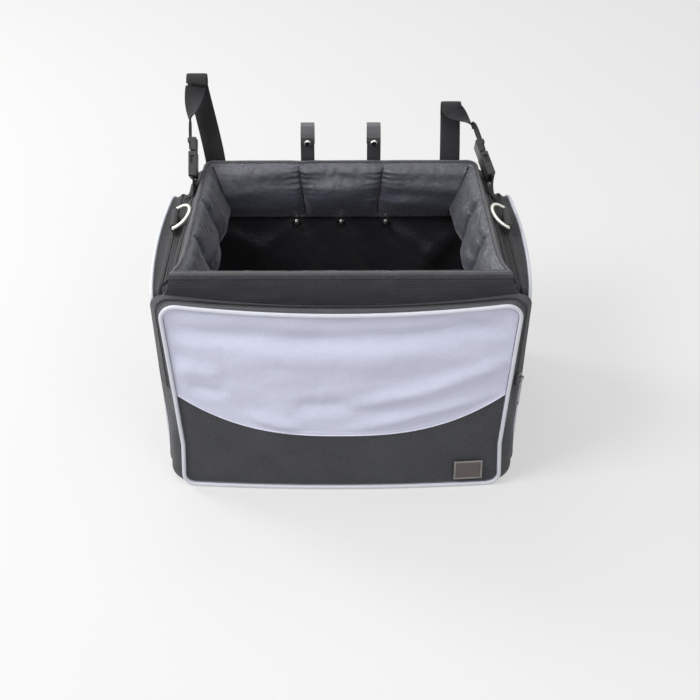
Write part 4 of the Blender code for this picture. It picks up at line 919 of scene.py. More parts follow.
def side_pad_back(y, z):
    half = side_half(min(y, REAR_CORNER_Y), z) - SIDE_INSET
    past = max(0, y - REAR_CORNER_Y) / (CORNER_RADIUS - BACK_INSET)
    return half - (CORNER_RADIUS - SIDE_INSET) * (1 - math.sqrt(1 - past**2)) - PAD_CLEARANCE


def finish_pad(name, rings, columns):
    """The pad's piece, and a black thread tube along each channel: the real thread, made thick to also
    paint the shade in the channel.
    """
    piece = loft("quilted_pad_" + name, rings, quilting, "box", sharp=70)
    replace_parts(piece, "rim_pad_" + name)
    for step in range(1, PAD_SEGMENTS):
        line = rings[step * (columns - 1) // PAD_SEGMENTS][2:PAD_ROWS - 1]
        # Thicker than a thread: the seam plus painted shade in the channel.
        tube("pad_seam_and_shade_%s_%d" % (name, step), line, PAD_SEAM_AND_SHADE, 6, black_thread, "box")


def build_side_pad(side, sign):
    front = FRONT_Y + SIDE_INSET + PAD_CLEARANCE
    rear = REAR_CORNER_Y + (CORNER_RADIUS - BACK_INSET) * SIDE_PAD_REACH
    rows = np.sin(np.linspace(0, math.pi / 2, PAD_ROWS))
    z = mix(PAD_BOTTOM, PAD_TOP, rows)
    turn = np.linspace(REAR_CORNER_Y, rear, SIDE_PAD_TURN)[1:]
    rings = []
    for y in np.concatenate([np.linspace(front, REAR_CORNER_Y, SIDE_PAD_COLUMNS), turn]):
        share = min(1, (y - front) / (REAR_CORNER_Y - front))
        fullness = channel(share, SIDE_CHANNEL_SHARE, PILLOW_WIDTH_SHARE)
        x = side_pad_face(min(y, REAR_CORNER_Y), rows, fullness)
        face = np.stack([x, np.full(PAD_ROWS, y), z], 1)
        placed = face * (sign, 1, 1)
        face[:, 0] -= pad_relief(share, rear - front, z, rows, placed, 17, SIDE_CHANNEL_DEPTH, SIDE_PUCKER)
        back = [(side_pad_back(y, WALL_TOP), y, PAD_TOP)]
        back += [(side_pad_back(y, level), y, level) for level in (WALL_TOP, SHOULDER_HEIGHT, PAD_BOTTOM)]
        rings.append(np.concatenate([face, back]))
    finish_pad(side, mirrored(rings, sign), SIDE_PAD_COLUMNS)


def build_end_pad(end, wall_y, inward, seed):
    """The front or back pad, between the side pads' faces. inward is the sign of y towards the middle."""
    rows = np.sin(np.linspace(0, math.pi / 2, PAD_ROWS))
    z = mix(PAD_BOTTOM, PAD_TOP, rows)
    edge = side_pad_face(wall_y, rows[[-1, 0]], 1.0) - PAD_CLEARANCE
    rings = []
    for share in np.linspace(0, 1, PAD_COLUMNS):
        fullness = channel(share, END_CHANNEL_SHARE, PILLOW_WIDTH_SHARE)
        y = wall_y + inward * pad_depth(rows, PAD_CROWN, END_PAD_SKEW, fullness)
        reach = np.array([side_pad_face(at, row, 1.0) for at, row in zip(y, rows)]) - PAD_CLEARANCE
        face = np.stack([mix(-reach, reach, share), y, z], 1)
        face[:, 1] += inward * pad_relief(share, 2 * reach[0], z, rows, face, seed)
        back = np.stack([mix(-edge, edge, share), (wall_y, wall_y), (PAD_TOP, PAD_BOTTOM)], 1)
        rings.append(np.concatenate([face, back]))
    finish_pad(end, rings, PAD_COLUMNS)


def rim_dip(x, y):
    """1 beside the pads' channels, and 0 away from them."""
    start = FRONT_Y + SIDE_INSET + PAD_CLEARANCE
    near = REAR_RIM_HALF - SIDE_INSET - PAD_TOP_THICKNESS
    dip = np.zeros(np.shape(x))
    for step in range(1, PAD_SEGMENTS):
        share = step / PAD_SEGMENTS
        on_end = np.where(np.abs(x) < near, np.abs(x - mix(-near, near, share)), 1)
        on_side = np.where(np.abs(x) >= near, np.abs(y - mix(start, REAR_CORNER_Y, share)), 1)
        dip += np.exp(-((np.minimum(on_end, on_side) / RIM_DIP_WIDTH) ** 2))
    return dip


def build_binding():
    """The quilting cloth folded over the top of the walls, with its lip down over the pads' upper edge."""
    low = WALL_TOP + GAP
    under = PAD_TOP + BINDING_UNDER
    side = SIDE_INSET + PAD_CLEARANCE + RIM_REACH
    rear = BACK_INSET + PAD_CLEARANCE + RIM_REACH
    outer = [(0, low)]
    inner = [(SIDE_INSET / side, low), (SIDE_INSET / side * 1.1, under)]
    for angle in np.linspace(0, math.pi / 2, BINDING_STEPS):
        height = mix(under - RIM_TUCK, BOX_HEIGHT, math.sin(angle))
        outer.append((RIM_CREST * (1 - math.cos(angle)), height))
    for share in np.linspace(0, 1, BINDING_STEPS + 2)[1:]:
        angle = share * math.pi / 2
        across = RIM_CREST + (1 - RIM_CREST) * math.sin(angle)
        height = mix(PAD_TOP - RIM_LIP, BOX_HEIGHT, math.cos(angle) ** RIM_ROUNDNESS)
        outer.append((across, height))
        if share < 1:
            inner.append((across - RIM_CLOTH / side, min(under, height - RIM_CLOTH)))
    section = outer + inner[::-1]
    rings = np.array([plan_loop(z, side * s, rear * s, side * s) for s, z in section])
    tops = slice(2, len(outer))
    rings[tops, :, 2] -= np.abs(crumple(rings[tops], *RIM_CRUMPLE))
    inward = np.array([s for s, _ in section])[tops, None]
    rings[tops, :, 2] -= RIM_DIP * inward * rim_dip(rings[tops, :, 0], rings[tops, :, 1])
    piece = loft("rim_fold", rings.transpose(1, 0, 2), quilting, "box", looped=True, sharp=60)
    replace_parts(piece, "rim_binding")
    # A thin sheet over the fold's outer face in the lighter rim cloth: painted highlight on the fold.
    edge = rings[1:BINDING_STEPS + 2]
    edge = edge + outward_normals(edge, (0, 0, WALL_TOP), True) * RIM_EDGE
    cloth("rim_edge", edge, RIM_EDGE_CLOTH, rim_highlight_cloth, "box", (0, 0, 0), looped=True)
    line = rings[BINDING_STEPS + 2].copy()
    shake = np.stack([crumple(line, RIM_CRIMP_SIZE, RIM_CRIMP, seed) for seed in (61, 62, 63)], 1)
    tube("rim_cord", line + shake * (1, 1, 0.3), RIM_CORD, 6, black_thread, "box", looped=True)


def cover_line(z, out):
    """Round the tub's sides and back at this height, this far off the walls."""
    return round_the_back(side_line(z, -out, -out, FRONT_Y + WALL))


def build_cover_zip():
    """Half a zip for a top cover, from one front corner round the back to the other."""
    top = (0, 0, TAPE_TOP)
    heights = np.linspace(TAPE_BOTTOM, TAPE_TOP, 4)
    grid = np.array([cover_line(z, TAPE_OFF_WALL) for z in heights])
    piece = cloth("cover_zip_cloth", grid, TAPE, tape_cloth, "box", top)
    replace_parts(piece, "cover_zip_tape")
    teeth("cover_zip_teeth", cover_line(TAPE_BOTTOM + TEETH_RISE, TEETH_OFF_WALL), "box")
    rows = []
    for start in grid[:, 0]:
        row = [start + (out, ahead, -TAPE_CURL_DROP * k) for k, (out, ahead) in enumerate(TAPE_CURL)]
        rows.append(resample(row, TAPE_CURL_PITCH)[:TAPE_CURL_POINTS])
    for side, sign in SIDES:
        cloth("cover_zip_end_" + side, mirrored(rows, sign), TAPE, tape_cloth, "box", top)


# Pockets

class Pocket:
    """A zipped pocket on a wall. a runs along the wall, z is up, and c is the distance off the wall."""

    def __init__(self, place, edge, flare, sag, depth, crown, levels, corners, bulge):
        self.place = place
        self.edge = edge
        self.flare = flare
        self.sag = sag
        self.depth = depth
        self.crown = crown
        self.bottom, self.fold, self.top = levels
        self.low_corners, self.high_corners = corners
        self.bulge = bulge

    def across(self, a, z):
        low, high = self.edge(z)
        return (2 * a - low - high) / (high - low)

    def face_c(self, a, z):
        return self.depth + self.crown * (1 - self.across(a, z) ** 2)

    def on_face(self, a, z, lift=0.0):
        """Points of the sagging face, lifted off it."""
        return self.place(a, self.sag(a, z), self.face_c(a, z) + lift)

    def outline(self, z):
        """Low and high end of the face at this height, with its round corners."""
        low, high = self.edge(z)
        ends = []
        for radii in zip(self.low_corners, self.high_corners):
            inset = 0
            for radius, off in zip(radii, (z - self.bottom, self.top - z)):
                missing = np.maximum(0, radius - off)
                inset = inset + radius - np.sqrt(np.maximum(0, radius**2 - missing**2))
            ends.append(inset)
        return low + ends[0], high - ends[1]

    def levels(self, start, end, steps=30):
        """Heights from start to end, closer together near a closed end's corners."""
        radius = max(self.high_corners) if end == self.top else max(self.low_corners)
        toward = 1 if end > start else -1
        straight = np.linspace(start, end - toward * radius, steps)
        turn = np.sin(np.linspace(0, math.pi / 2, 10)[1:])
        return np.concatenate([straight, end - toward * radius * (1 - turn)])

    def rim(self, start, end):
        """(a, z) points from the low side at start, round the closed end, to the high side at start."""
        heights = self.levels(start, end)
        low, high = self.outline(heights)
        side = np.stack([low, heights, heights * 0], 1)
        other = np.stack([high, heights, heights * 0], 1)
        path = resample(np.concatenate([side, other[::-1]]), RIM_PITCH)
        return path[:, 0], path[:, 1]

    def upper_rim(self):
        return self.rim(self.fold + RUNNING_GAP, self.top)

    def whole_rim(self):
        """(a, z) points round the face, from the fold over the top and then round the bottom."""
        a, z = self.rim(self.fold, self.top)
        low_a, low_z = self.rim(self.fold, self.bottom)
        return np.concatenate([a, low_a[::-1][1:-1]]), np.concatenate([z, low_z[::-1][1:-1]])

    def outward(self, a, z, looped=False):
        """Directions in the face's plane, square to the line (a, z) and away from the middle."""
        line = np.stack([a, z], 1)
        along = tangents(line, looped)
        away = np.stack([-along[:, 1], along[:, 0]], 1)
        off_middle = line - (np.mean(a), self.fold)
        return (away * np.sign(np.sum(away * off_middle, axis=1, keepdims=True))).T

    def low_bulge(self, a, z):
        """How far the lower gusset swells out at its sides."""
        side = ramp(np.abs(self.across(a, z)) - BULGE_SIDE, 1 - BULGE_SIDE)
        down = ramp(self.fold - BULGE_START - z, BULGE_RUN)
        return self.bulge * side * down * down * (3 - 2 * down)

    def edge_points(self, a, z, c, lift=0.0):
        """Points of the gusset at c off the wall, lifted off its outer face."""
        share = np.maximum(0, 1 - c / self.depth)
        out, up = self.flare(self.across(a, z), z)
        away_a, away_z = self.outward(a, z)
        lifted_a = a + out * share + away_a * lift
        return self.place(lifted_a, self.sag(a, z) + up * share + away_z * lift, c)

    def middle(self):
        """A point inside the pocket."""
        return self.place(sum(self.edge(self.fold)) / 2, self.fold, self.depth / 2)


def front_place(a, z, c):
    a, z, c = np.broadcast_arrays(a, z, c)
    return np.stack([a, FRONT_Y - c, z], -1).astype(float)


def front_edge(z):
    half = np.interp(z, POCKET_HEIGHTS, POCKET_HALVES)
    return -half, half


def front_flare(across, z):
    height = np.maximum(0, (z - POCKET_FOLD) / (POCKET_TOP - POCKET_FOLD))
    drop = mix(POCKET_DROP_CENTRE, POCKET_DROP_CORNER, across**2)
    return mix(POCKET_FLARE_LOW, POCKET_FLARE_TOP, height) * across, -drop * height**2


def sagging_top(a, z):
    height = np.maximum(0, (z - POCKET_FOLD) / (POCKET_TOP - POCKET_FOLD))
    return z - POCKET_TOP_SAG * height * np.maximum(0, 1 - (a / POCKET_TOP_HALF) ** 2)


def arc_height(a):
    """Lower edge of the grey cloth."""
    return ARC_LOW + (POCKET_FOLD - ARC_LOW) * np.minimum(1, np.abs(a) / ARC_HALF) ** ARC_POWER


def build_zip(name, pocket, split, flap):
    """Both tapes and the coil along the upper rim, each half on the wall's body or the flap's."""
    a, z = pocket.upper_rim()
    halves = (("wall", "box", -1), ("face", flap, 1))
    for label, body, way in halves:
        ends = sorted((split + way * ZIP_TAPE_WIDTH, split + way * RUNNING_GAP))
        rows = [pocket.edge_points(a, z, c, ZIP_TAPE_LIFT) for c in np.linspace(*ends, 4)]
        cloth(name + "_zip_tape_" + label, rows, ZIP_TAPE, tape_cloth, body, pocket.middle())
    for label, body, way in halves:
        line = pocket.edge_points(a, z, split + way * COIL_SPLIT, COIL_LIFT)
        teeth(name + "_zip_teeth_" + label, line, body)


def build_gussets(name, pocket, split, flap, surface, nodes):
    """The cloth round the pocket's edge: behind the zip, before it, and below the fold."""
    inside = pocket.middle()
    a, z = pocket.upper_rim()
    rows = [pocket.edge_points(a, z, c) for c in np.linspace(GUSSET_START, split, 10)]
    band = cloth(name + "_gusset_wall", rows, GUSSET_CLOTH, surface, "box", inside)
    depths = mix(split + RUNNING_GAP, pocket.face_c(a, z), np.linspace(0, 1, 10)[:, None])
    rows = [pocket.edge_points(a, z, c) for c in depths]
    cloth(name + "_gusset_face", rows, GUSSET_CLOTH, surface, flap, inside)
    a, z = pocket.rim(pocket.fold - RUNNING_GAP, pocket.bottom)
    shares = np.linspace(0, 1, 16)
    depths = mix(GUSSET_START, pocket.face_c(a, z), shares[:, None])
    swell = pocket.low_bulge(a, z) * np.sin(math.pi * shares**BULGE_SKEW)[:, None]
    low = np.array([pocket.edge_points(a, z, c, lift) for c, lift in zip(depths, swell)])
    buckle = crumple(low, *GUSSET_CRUMPLE) * np.sin(math.pi * shares)[:, None]
    low = low - (low - inside) * buckle[..., None] / GUSSET_HALF
    low[..., 2] = np.maximum(low[..., 2], GAP)
    tray = cloth(name + "_gusset_low", low, GUSSET_CLOTH, surface, "box", inside)
    for piece, node in zip((band, tray), nodes):
        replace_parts(piece, node)


def bend_at_fold(piece):
    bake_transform(piece)


def build_piping(name, pocket, radius, nodes):
    """The piping round the whole face."""
    line = pocket.on_face(*pocket.whole_rim(), radius * PIPING_STAND)
    cord = tube(name, resample(line, PIPING_PITCH, True), radius, 10, piping_cloth, None, looped=True)
    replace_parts(cord, *nodes)
    bend_at_fold(cord)


def build_piping_shadow(pocket, inset):
    """A dark grey-lilac tube just inside the front piping: painted shadow of the seam there."""
    a, z = pocket.whole_rim()
    away_a, away_z = pocket.outward(a, z, True)
    line = resample(pocket.on_face(a - away_a * inset, z - away_z * inset), PIPING_PITCH, True)
    seam = tube("front_piping_shadow", line, PIPING_SHADOW_RADIUS, 6, seam_shadow_cloth, None, looped=True)
    bend_at_fold(seam)


def build_grey_front(pocket, u):
    """The grey cloth from the arc to the top, with its soft folds."""
    rows = []
    for share in np.linspace(0, 1, 20)[:-1]:
        a = u * (front_edge(POCKET_FOLD)[1] - GREY_INSET)
        z = mix(arc_height(a) + SEAM, POCKET_FOLD, share)
        rows.append((a, z, pocket.face_c(a, POCKET_FOLD)))
    for z in pocket.levels(POCKET_FOLD, POCKET_TOP, 40):
        a = mix(*pocket.outline(z), (u + 1) / 2)
        rows.append((a, sagging_top(a, z), pocket.face_c(a, z)))
    a, z, c = np.swapaxes(rows, 0, 1)
    below_top = np.linspace(1, 0, len(z))[:, None] * (POCKET_TOP - ARC_LOW)
    fade = ramp(1 - np.abs(u), SIDE_FADE) * ramp(below_top, EDGE_FADE)
    fade = fade * ramp(z - arc_height(a), ARC_FADE)
    places = front_place(a, z, c)
    lift = fold_lift(a, z, GREY_FOLDS) + crumple(places, *GREY_CRUMPLE)
    lift += crumple(places, *GREY_TOP_CRUMPLE) * np.exp(-below_top / GREY_TOP_REACH)
    grid = front_place(a, z, c + lift * fade)
    face = cloth("grey_front", grid, CLOTH, grey_cloth, None, pocket.middle())
    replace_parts(face, "front_pocket_flap", "front_pocket_grey_lower")
    bend_at_fold(face)


def build_black_front(pocket, u):
    rows = []
    for z in pocket.levels(POCKET_FOLD - RUNNING_GAP, POCKET_BOTTOM, 26):
        a = mix(*pocket.outline(z), (u + 1) / 2)
        share = (z - POCKET_BOTTOM) / (POCKET_FOLD - POCKET_BOTTOM)
        rows.append((a, z - (POCKET_FOLD - arc_height(a)) * share, pocket.face_c(a, z)))
    a, z, c = np.swapaxes(rows, 0, 1)
    fade = ramp(1 - np.abs(u), SIDE_FADE) * ramp(arc_height(a) - z, EDGE_FADE)
    fade = fade * ramp(z - POCKET_BOTTOM, EDGE_FADE)
    lift = fold_lift(a, z, BLACK_FOLDS) + crumple(front_place(a, z, c), *BLACK_CRUMPLE)
    grid = front_place(a, z, c + lift * fade)
    cloth("black_front", grid, CLOTH, black_cloth, "box", pocket.middle())


def build_hem(pocket):
    """The grey cloth's folded edge along the arc, with its stitches."""
    a = np.linspace(-ARC_HALF, ARC_HALF, 200) * HEM_SHARE

    def line(rise, lift):
        z = arc_height(a) + rise
        return front_place(a, z, pocket.face_c(a, z) + lift)

    rows = []
    for rise in np.linspace(0, HEM_WIDTH, 8):
        round_edge = HEM * math.sqrt(min(1, rise / HEM)) * min(1, (HEM_WIDTH - rise) / HEM)
        rows.append(line(rise, HEM_LIFT + round_edge))
    cloth("arc_hem", rows, HEM_CLOTH, grey_cloth, "box", pocket.middle())
    # The rolled edge is in the lighter grey: painted highlight along the fold.
    tube("arc_edge", line(HEM_EDGE, HEM), HEM_EDGE, 8, hem_highlight_cloth, "box")
    stitching("arc_stitches", line(HEM_STITCH, HEM_LIFT + HEM), (0, -1, 0), grey_thread, "box")


def build_front_pocket():
    levels = (POCKET_BOTTOM, POCKET_FOLD, POCKET_TOP)
    corners = ((POCKET_BOTTOM_RADIUS,) * 2, (POCKET_TOP_RADIUS,) * 2)
    pocket = Pocket(front_place, front_edge, front_flare, sagging_top, POCKET_DEPTH, POCKET_CROWN,
                    levels, corners, FRONT_BULGE)
    u = np.linspace(-1, 1, 120)
    build_grey_front(pocket, u)
    build_black_front(pocket, u)
    nodes = ("front_pocket_band", "front_pocket_tray")
    build_gussets("front", pocket, POCKET_SPLIT, "front_flap", black_cloth, nodes)
    build_zip("front", pocket, POCKET_SPLIT, "front_flap")
    nodes = ("front_piping_upper", "front_piping_lower")
    build_piping("front_piping", pocket, PIPING_RADIUS, nodes)
    build_piping_shadow(pocket, PIPING_RADIUS)
    build_hem(pocket)
    build_label(pocket)


def build_label(pocket):
    """A bare sewn patch with a raised border."""
    lift = LABEL_STAND + LABEL_THICKNESS
    raised = lift + LABEL_BORDER_RISE
    behind = (LABEL_X, 0, LABEL_Z)

    def patch(smaller, lift):
        halves = (LABEL_WIDTH - smaller) / 2, (LABEL_HEIGHT - smaller) / 2
        rows = []
        for z in np.linspace(LABEL_Z - halves[1], LABEL_Z + halves[1], LABEL_STEPS):
            a = np.linspace(LABEL_X - halves[0], LABEL_X + halves[0], LABEL_STEPS)
            rows.append(front_place(a, z, pocket.face_c(a, z) + lift))
        return np.array(rows)

    def loop(smaller):
        sheet = patch(smaller, raised)
        return np.concatenate([sheet[0], sheet[1:, -1], sheet[-1, ::-1][1:], sheet[::-1][1:-1, 0]])

    field = cloth("patch_field", patch(LABEL_INSET, lift), LABEL_THICKNESS, patch_rubber, "box", behind)
    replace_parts(field, "front_label")
    loops = [loop(0), loop(2 * LABEL_BORDER)]
    cloth("patch_border", loops, LABEL_BORDER_RISE * 2, patch_border, "box", behind, looped=True)
    stitching("patch_stitches", loop(LABEL_BORDER), (0, -1, 0), black_thread, "box", looped=True)


def build_side_pocket(side, sign):
    def place(a, z, c):
        a, z, c = np.broadcast_arrays(a, z, c)
        return np.stack([sign * (side_half(a, np.minimum(z, SHOULDER_HEIGHT)) + c), a, z], -1).astype(float)

    def edge(z):
        return z * 0 + SIDE_POCKET_FRONT, z * 0 + SIDE_POCKET_REAR

    def flare(across, z):
        height = np.maximum(0, (z - SIDE_POCKET_FOLD) / (SIDE_POCKET_TOP - SIDE_POCKET_FOLD))
        return across * 0, SIDE_POCKET_RISE * height**2

    levels = (SIDE_POCKET_BOTTOM, SIDE_POCKET_FOLD, SIDE_POCKET_TOP)
    corners = ((SIDE_POCKET_BOTTOM_RADIUS,) * 2, (SIDE_POCKET_FRONT_RADIUS, SIDE_POCKET_REAR_RADIUS))
    pocket = Pocket(place, edge, flare, lambda a, z: z, SIDE_POCKET_DEPTH, SIDE_POCKET_CROWN,
                    levels, corners, SIDE_BULGE)
    flap = "side_flap_" + side
    lower = pocket.levels(SIDE_POCKET_FOLD, SIDE_POCKET_BOTTOM, 26)[::-1][:-1]
    upper = pocket.levels(SIDE_POCKET_FOLD, SIDE_POCKET_TOP, 26)
    share = np.linspace(0, 1, 70)
    rows = []
    for z in np.concatenate([lower, upper]):
        a = mix(*pocket.outline(z), share)
        rows.append((a, z + a * 0, pocket.face_c(a, z)))
    a, z, c = np.swapaxes(rows, 0, 1)
    fade = ramp(np.minimum(share, 1 - share), SIDE_POCKET_SIDE_FADE)
    fade = fade * ramp(np.minimum(z - SIDE_POCKET_BOTTOM, SIDE_POCKET_TOP - z), SIDE_POCKET_END_FADE)
    lift = fold_lift(a, z, SIDE_FOLDS) + crumple(place(a, z, c), *SIDE_CRUMPLE)
    grid = place(a, z, c + lift * fade)
    face = cloth("side_front_" + side, grid, CLOTH, black_cloth, None, pocket.middle())
    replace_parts(face, "side_pocket_flap_" + side)
    bend_at_fold(face)
    nodes = ("side_pocket_band_" + side, "side_pocket_tray_" + side)
    build_gussets("side_" + side, pocket, SIDE_POCKET_SPLIT, flap, shaded_side_cloth, nodes)
    build_zip("side_" + side, pocket, SIDE_POCKET_SPLIT, flap)
    nodes = ("side_piping_upper_" + side, "side_piping_lower_" + side)
    build_piping("side_piping_" + side, pocket, SIDE_PIPING_RADIUS, nodes)


# Straps, rings and tabs

def smooth_line(stations):
    """Rounds a run of (place, width direction) stations with a curve through them."""
    made = []
    for values in zip(*stations):
        values = np.array(values, float)
        padded = np.concatenate([[2 * values[0] - values[1]], values, [2 * values[-1] - values[-2]]])
        line = []
        for k in range(len(values) - 1):
            p0, p1, p2, p3 = padded[k:k + 4]
            bend = 2 * p0 - 5 * p1 + 4 * p2 - p3
            twist = 3 * p1 - p0 - 3 * p2 + p3
            for t in np.linspace(0, 1, STRAP_STEPS, endpoint=False):
                line.append(0.5 * (2 * p1 + (p2 - p0) * t + bend * t**2 + twist * t**3))
        line.append(values[-1])
        made.append(np.array(line))
    return made


def strap_piece(name, stations, node):
    """Webbing with rounded selvedges along its stations."""
    places, across = smooth_line(stations)
    along = tangents(places, False)
    across = across - along * np.sum(across * along, axis=1, keepdims=True)
    across = across / np.linalg.norm(across, axis=1, keepdims=True)
    out = np.cross(along, across)
    section = []
    for face in (1, -1):
        for s in np.linspace(-face, face, 9):
            rise = face * WEBBING / 2 * (1 - SELVEDGE * abs(s) ** SELVEDGE_POWER)
            section.append((s * WEBBING_WIDTH / 2, rise))
    rings = []
    for place, side, up in zip(places, across, out):
        rings.append([place + side * u + up * v for u, v in section])
    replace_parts(loft(name, rings, webbing, "box", sharp=70), node)


def buckle_frame(side, sign):
    """The buckle's foot, its direction, and the directions across and through it."""
    foot, end = (Vector(place) for place in STRAPS[side][3:])
    along = (end - foot).normalized()
    through = Vector((sign, 0, 0))
    through = (through - along * through.dot(along)).normalized()
    return foot, along, through.cross(along), through


def strap_stations(side, sign):
    """Up from the back wall, over the bar, then forward and through the plug's keeper, edge-on."""
    foot_x, bar_x, bar_z = STRAPS[side][:3]
    radius = STRAP_LOOP_RADIUS
    foot_y = BACK_Y + FOOT_GAP
    centre = Vector((sign * bar_x, BAR_DEPTH, bar_z))
    origin, along, across, through = buckle_frame(side, sign)
    lane = origin + through * (PLUG_SADDLE + GAP + WEBBING / 2)
    plug = SOCKET_LENGTH + GAP
    end = lane + along * (plug + STRAP_END)
    released = plug + PLUG_LENGTH + PLUG_TRAVEL
    bend = lane + along * (released + BEND_CLEARANCE)
    wide = Vector((1, 0, 0))
    stations = [(Vector((sign * foot_x, foot_y, z)), wide) for z in (FOOT_BOTTOM, BOX_HEIGHT)]
    rise = Vector((BAR_DEPTH - foot_y, bar_z - BOX_HEIGHT))
    start = math.atan2(rise.y, rise.x) - math.asin(radius / rise.length) - math.pi / 2
    fall = Vector((bend.y - BAR_DEPTH, bend.z - bar_z))
    finish = math.atan2(fall.y, fall.x) % math.tau - math.acos(radius / fall.length)
    for angle in np.linspace(start, finish, 10):
        spoke = Vector((0, math.cos(angle), math.sin(angle)))
        stations.append((centre + spoke * radius, wide))
    leave = stations[-1][0]
    edge_on = across if across.z < 0 else -across
    for share in np.linspace(0, 1, 7)[1:]:
        turn = share**STRAP_TWIST * math.pi / 2
        direction = wide * sign * math.cos(turn) + edge_on * math.sin(turn)
        stations.append((leave.lerp(bend, share), direction))
    stations.append((end, edge_on))
    return stations


def build_straps():
    drop = WALL_TOP - SHOULDER_HEIGHT
    slope = float(side_half(ANCHOR_FOOT_Y, SHOULDER_HEIGHT) - side_half(ANCHOR_FOOT_Y, WALL_TOP)) / drop
    off_wall = (WEBBING / 2 + ANCHOR_CLEARANCE) * math.hypot(1, slope)
    foot_x = float(side_half(ANCHOR_FOOT_Y, ANCHOR_FOOT_Z)) + off_wall
    for side, sign in SIDES:
        strap_piece("webbing_loop_" + side, strap_stations(side, sign), "handlebar_strap_" + side)
        origin, along, across, _ = buckle_frame(side, sign)
        flat = Vector((-sign * slope * across.z, across.y, across.z)).normalized()
        foot = Vector((sign * foot_x, ANCHOR_FOOT_Y, ANCHOR_FOOT_Z))
        end = origin - along * GAP
        stations = [(foot, flat), (end - along * ANCHOR_LEAD, across), (end, across)]
        strap_piece("webbing_anchor_" + side, stations, "buckle_anchor_" + side)


def build_ring(side, sign):
    pivot = np.array((sign * RING_X, RING_Y, RING_Z))
    reach = np.array((sign * math.cos(RING_LEAN), 0, math.sin(RING_LEAN)))
    half = np.array((0, RING_HALF, 0))
    path = [pivot + half * s for s in np.linspace(-1, 1, 12)]
    bow = RING_REACH - RING_SHOULDER
    for angle in np.linspace(0, math.pi, 40):
        rise = RING_SHOULDER + bow * math.sin(angle)
        path.append(pivot + half * math.cos(angle) + reach * rise)
    path = resample(path, WIRE_PITCH, True)
    piece = tube("ring_wire_" + side, path, WIRE_RADIUS, 14, nickel, "ring_" + side, looped=True)
    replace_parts(piece, "d_ring_" + side)


def build_tab(side, sign):
    """Webbing folded round the ring's bar, with its foot sewn to the top of the side pocket."""
    inner = WIRE_RADIUS + RUNNING_GAP
    outer = inner + TAB_PLY
    rings = []
    corners = ((-1, outer, TAB_EDGE), (1, outer, TAB_EDGE), (1, inner, 0), (-1, inner, 0))
    for across, radius, edge in corners:
        ring = []
        y = RING_Y + across * (TAB_WIDTH / 2 - edge)
        for step in range(TAB_STEPS):
            angle = math.tau * (step + 0.5) / TAB_STEPS
            x = radius * math.cos(angle)
            z = RING_Z + radius * math.sin(angle)
            if radius == outer and math.sin(angle) < -math.sin(math.pi / 4):
                x = math.copysign(TAB_FOOT_HALF, x) - TAB_FOOT_INSET
                off_wall = RING_X + x - float(side_half(y, SHOULDER_HEIGHT))
                z = SIDE_POCKET_TOP + SIDE_POCKET_RISE * (1 - off_wall / SIDE_POCKET_DEPTH) + GAP
            ring.append((sign * (RING_X + x), y, z))
        rings.append(ring)
    rings = np.array(rings)
    rings = [*np.linspace(rings[0], rings[1], 10), *rings[2:]]
    piece = loft("ring_webbing_" + side, rings, tab_webbing, "box", looped=True, sharp=70)
    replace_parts(piece, "d_ring_tab_" + side)


# Finishes of the hard pieces that stay as they are

FINISHES = {
    "board": board,
    "mounting_rail": rail_coat,
    "rail_nut": nut_steel,
    "rail_bolt": zinc,
    "hook_screw": zinc,
    "handlebar_hook": hook_coat,
    "buckle_plug": plastic,
    "buckle_socket": plastic,
    "zip_slider": gunmetal,
    "zip_pull": gunmetal,
}


def finish_hard_pieces():
    for node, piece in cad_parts.items():
        for part, surface in FINISHES.items():
            if part in node and not piece.hide_render:
                piece.data.materials.clear()
                piece.data.materials.append(surface.material)


# Room, light and camera

def show_to_camera(tree, usual, seen, share, output):
    """Mixes this share of seen into usual, for the camera and for what metal and gloss reflect."""
    rays = tree.nodes.new("ShaderNodeLightPath")
    ways = rays.outputs["Is Camera Ray"]
    for name in ("Is Glossy Ray", "Is Transmission Ray"):
        either = tree.nodes.new("ShaderNodeMath")
        either.operation = "MAXIMUM"
        tree.links.new(ways, either.inputs[0])
        tree.links.new(rays.outputs[name], either.inputs[1])
        ways = either.outputs[0]
    part = tree.nodes.new("ShaderNodeMath")
    part.operation = "MULTIPLY"
    part.inputs[1].default_value = share
    tree.links.new(ways, part.inputs[0])
    chooser = tree.nodes.new("ShaderNodeMixShader")
    tree.links.new(part.outputs[0], chooser.inputs["Fac"])
    tree.links.new(usual.outputs[0], chooser.inputs[1])
    tree.links.new(seen.outputs[0], chooser.inputs[2])
    tree.links.new(chooser.outputs["Shader"], tree.nodes[output].inputs["Surface"])


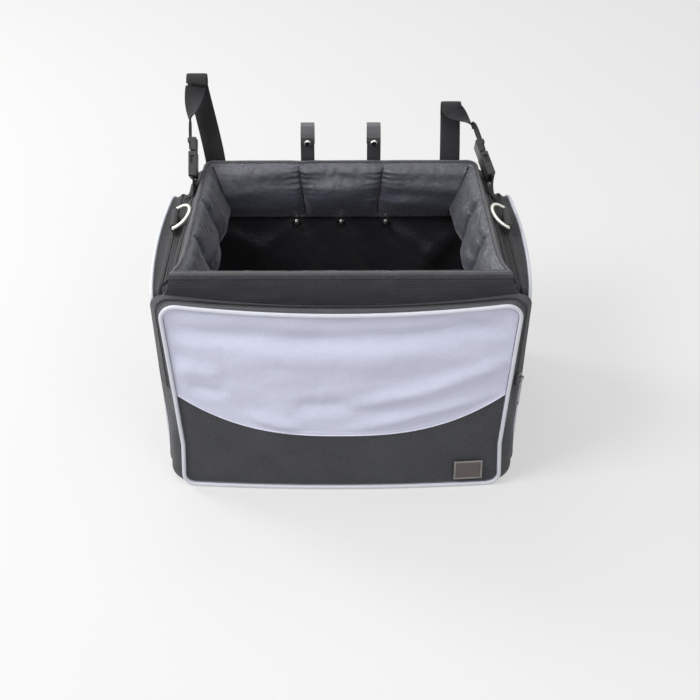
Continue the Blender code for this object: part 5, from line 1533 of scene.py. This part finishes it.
def build_room():
    mesh = bpy.data.meshes.new("floor")
    corners = [(x * FLOOR_SIZE, y * FLOOR_SIZE, 0) for x, y in ((-1, -1), (1, -1), (1, 1), (-1, 1))]
    mesh.from_pydata(corners, [], [(0, 1, 2, 3)])
    floor = bpy.data.objects.new("floor", mesh)
    bpy.context.scene.collection.objects.link(floor)
    paint = bpy.data.materials.new("pale_floor")
    paint.use_nodes = True
    tree = paint.node_tree
    shader = tree.nodes["Principled BSDF"]
    shader.inputs["Base Color"].default_value = FLOOR_COLOUR
    shader.inputs["Roughness"].default_value = 0.9
    shader.inputs["Specular IOR Level"].default_value = 0.1
    pale = tree.nodes.new("ShaderNodeEmission")
    pale.inputs["Color"].default_value = FLOOR_SEEN
    show_to_camera(tree, shader, pale, FLOOR_EVENNESS, "Material Output")
    mesh.materials.append(paint)

    world = bpy.data.worlds.new("studio")
    bpy.context.scene.world = world
    world.use_nodes = True
    tree = world.node_tree
    glow = tree.nodes["Background"]
    glow.inputs["Color"].default_value = GLOW_COLOUR
    glow.inputs["Strength"].default_value = GLOW
    backdrop = tree.nodes.new("ShaderNodeBackground")
    backdrop.inputs["Color"].default_value = BACKDROP
    show_to_camera(tree, glow, backdrop, 1.0, "World Output")

    lamps = (
        ("key", (-1.3, -0.8, 2.0), 0.9, 36),
        ("fill", (0.9, -1.7, 1.9), 0.9, 12),
        ("top", (-0.3, 1.2, 2.0), 1.0, 10),
        ("side", (-1.8, 0.9, 1.15), 0.7, 24),
    )
    for name, place, size, power in lamps:
        light = bpy.data.lights.new(name, "AREA")
        light.size = size
        light.energy = power
        lamp = bpy.data.objects.new(name, light)
        lamp.location = place
        aim = Vector(BOX_MIDDLE) - Vector(place)
        lamp.rotation_euler = aim.to_track_quat("-Z", "Y").to_euler()
        bpy.context.scene.collection.objects.link(lamp)


def build_camera():
    lens = bpy.data.cameras.new("photo_camera")
    lens.sensor_width = SENSOR_WIDTH
    lens.lens = FOCAL_PIXELS / IMAGE_SIZE * SENSOR_WIDTH
    camera = bpy.data.objects.new("photo_camera", lens)
    camera.location = CAMERA_PLACE
    camera.rotation_euler = (math.pi / 2 - CAMERA_PITCH, 0, CAMERA_YAW)
    bpy.context.scene.collection.objects.link(camera)
    bpy.context.scene.camera = camera
    bpy.context.scene.view_settings.view_transform = "Standard"


build_camera()
build_room()
build_walls()
build_lining()
for side, sign in SIDES:
    build_side_pad(side, sign)
build_end_pad("back", BACK_Y - BACK_INSET - PAD_CLEARANCE, -1, 19)
build_end_pad("front", FRONT_Y + SIDE_INSET + PAD_CLEARANCE, 1, 29)
build_binding()
build_cover_zip()
build_front_pocket()
for side, sign in SIDES:
    build_side_pocket(side, sign)
    build_ring(side, sign)
    build_tab(side, sign)
build_straps()
finish_hard_pieces()
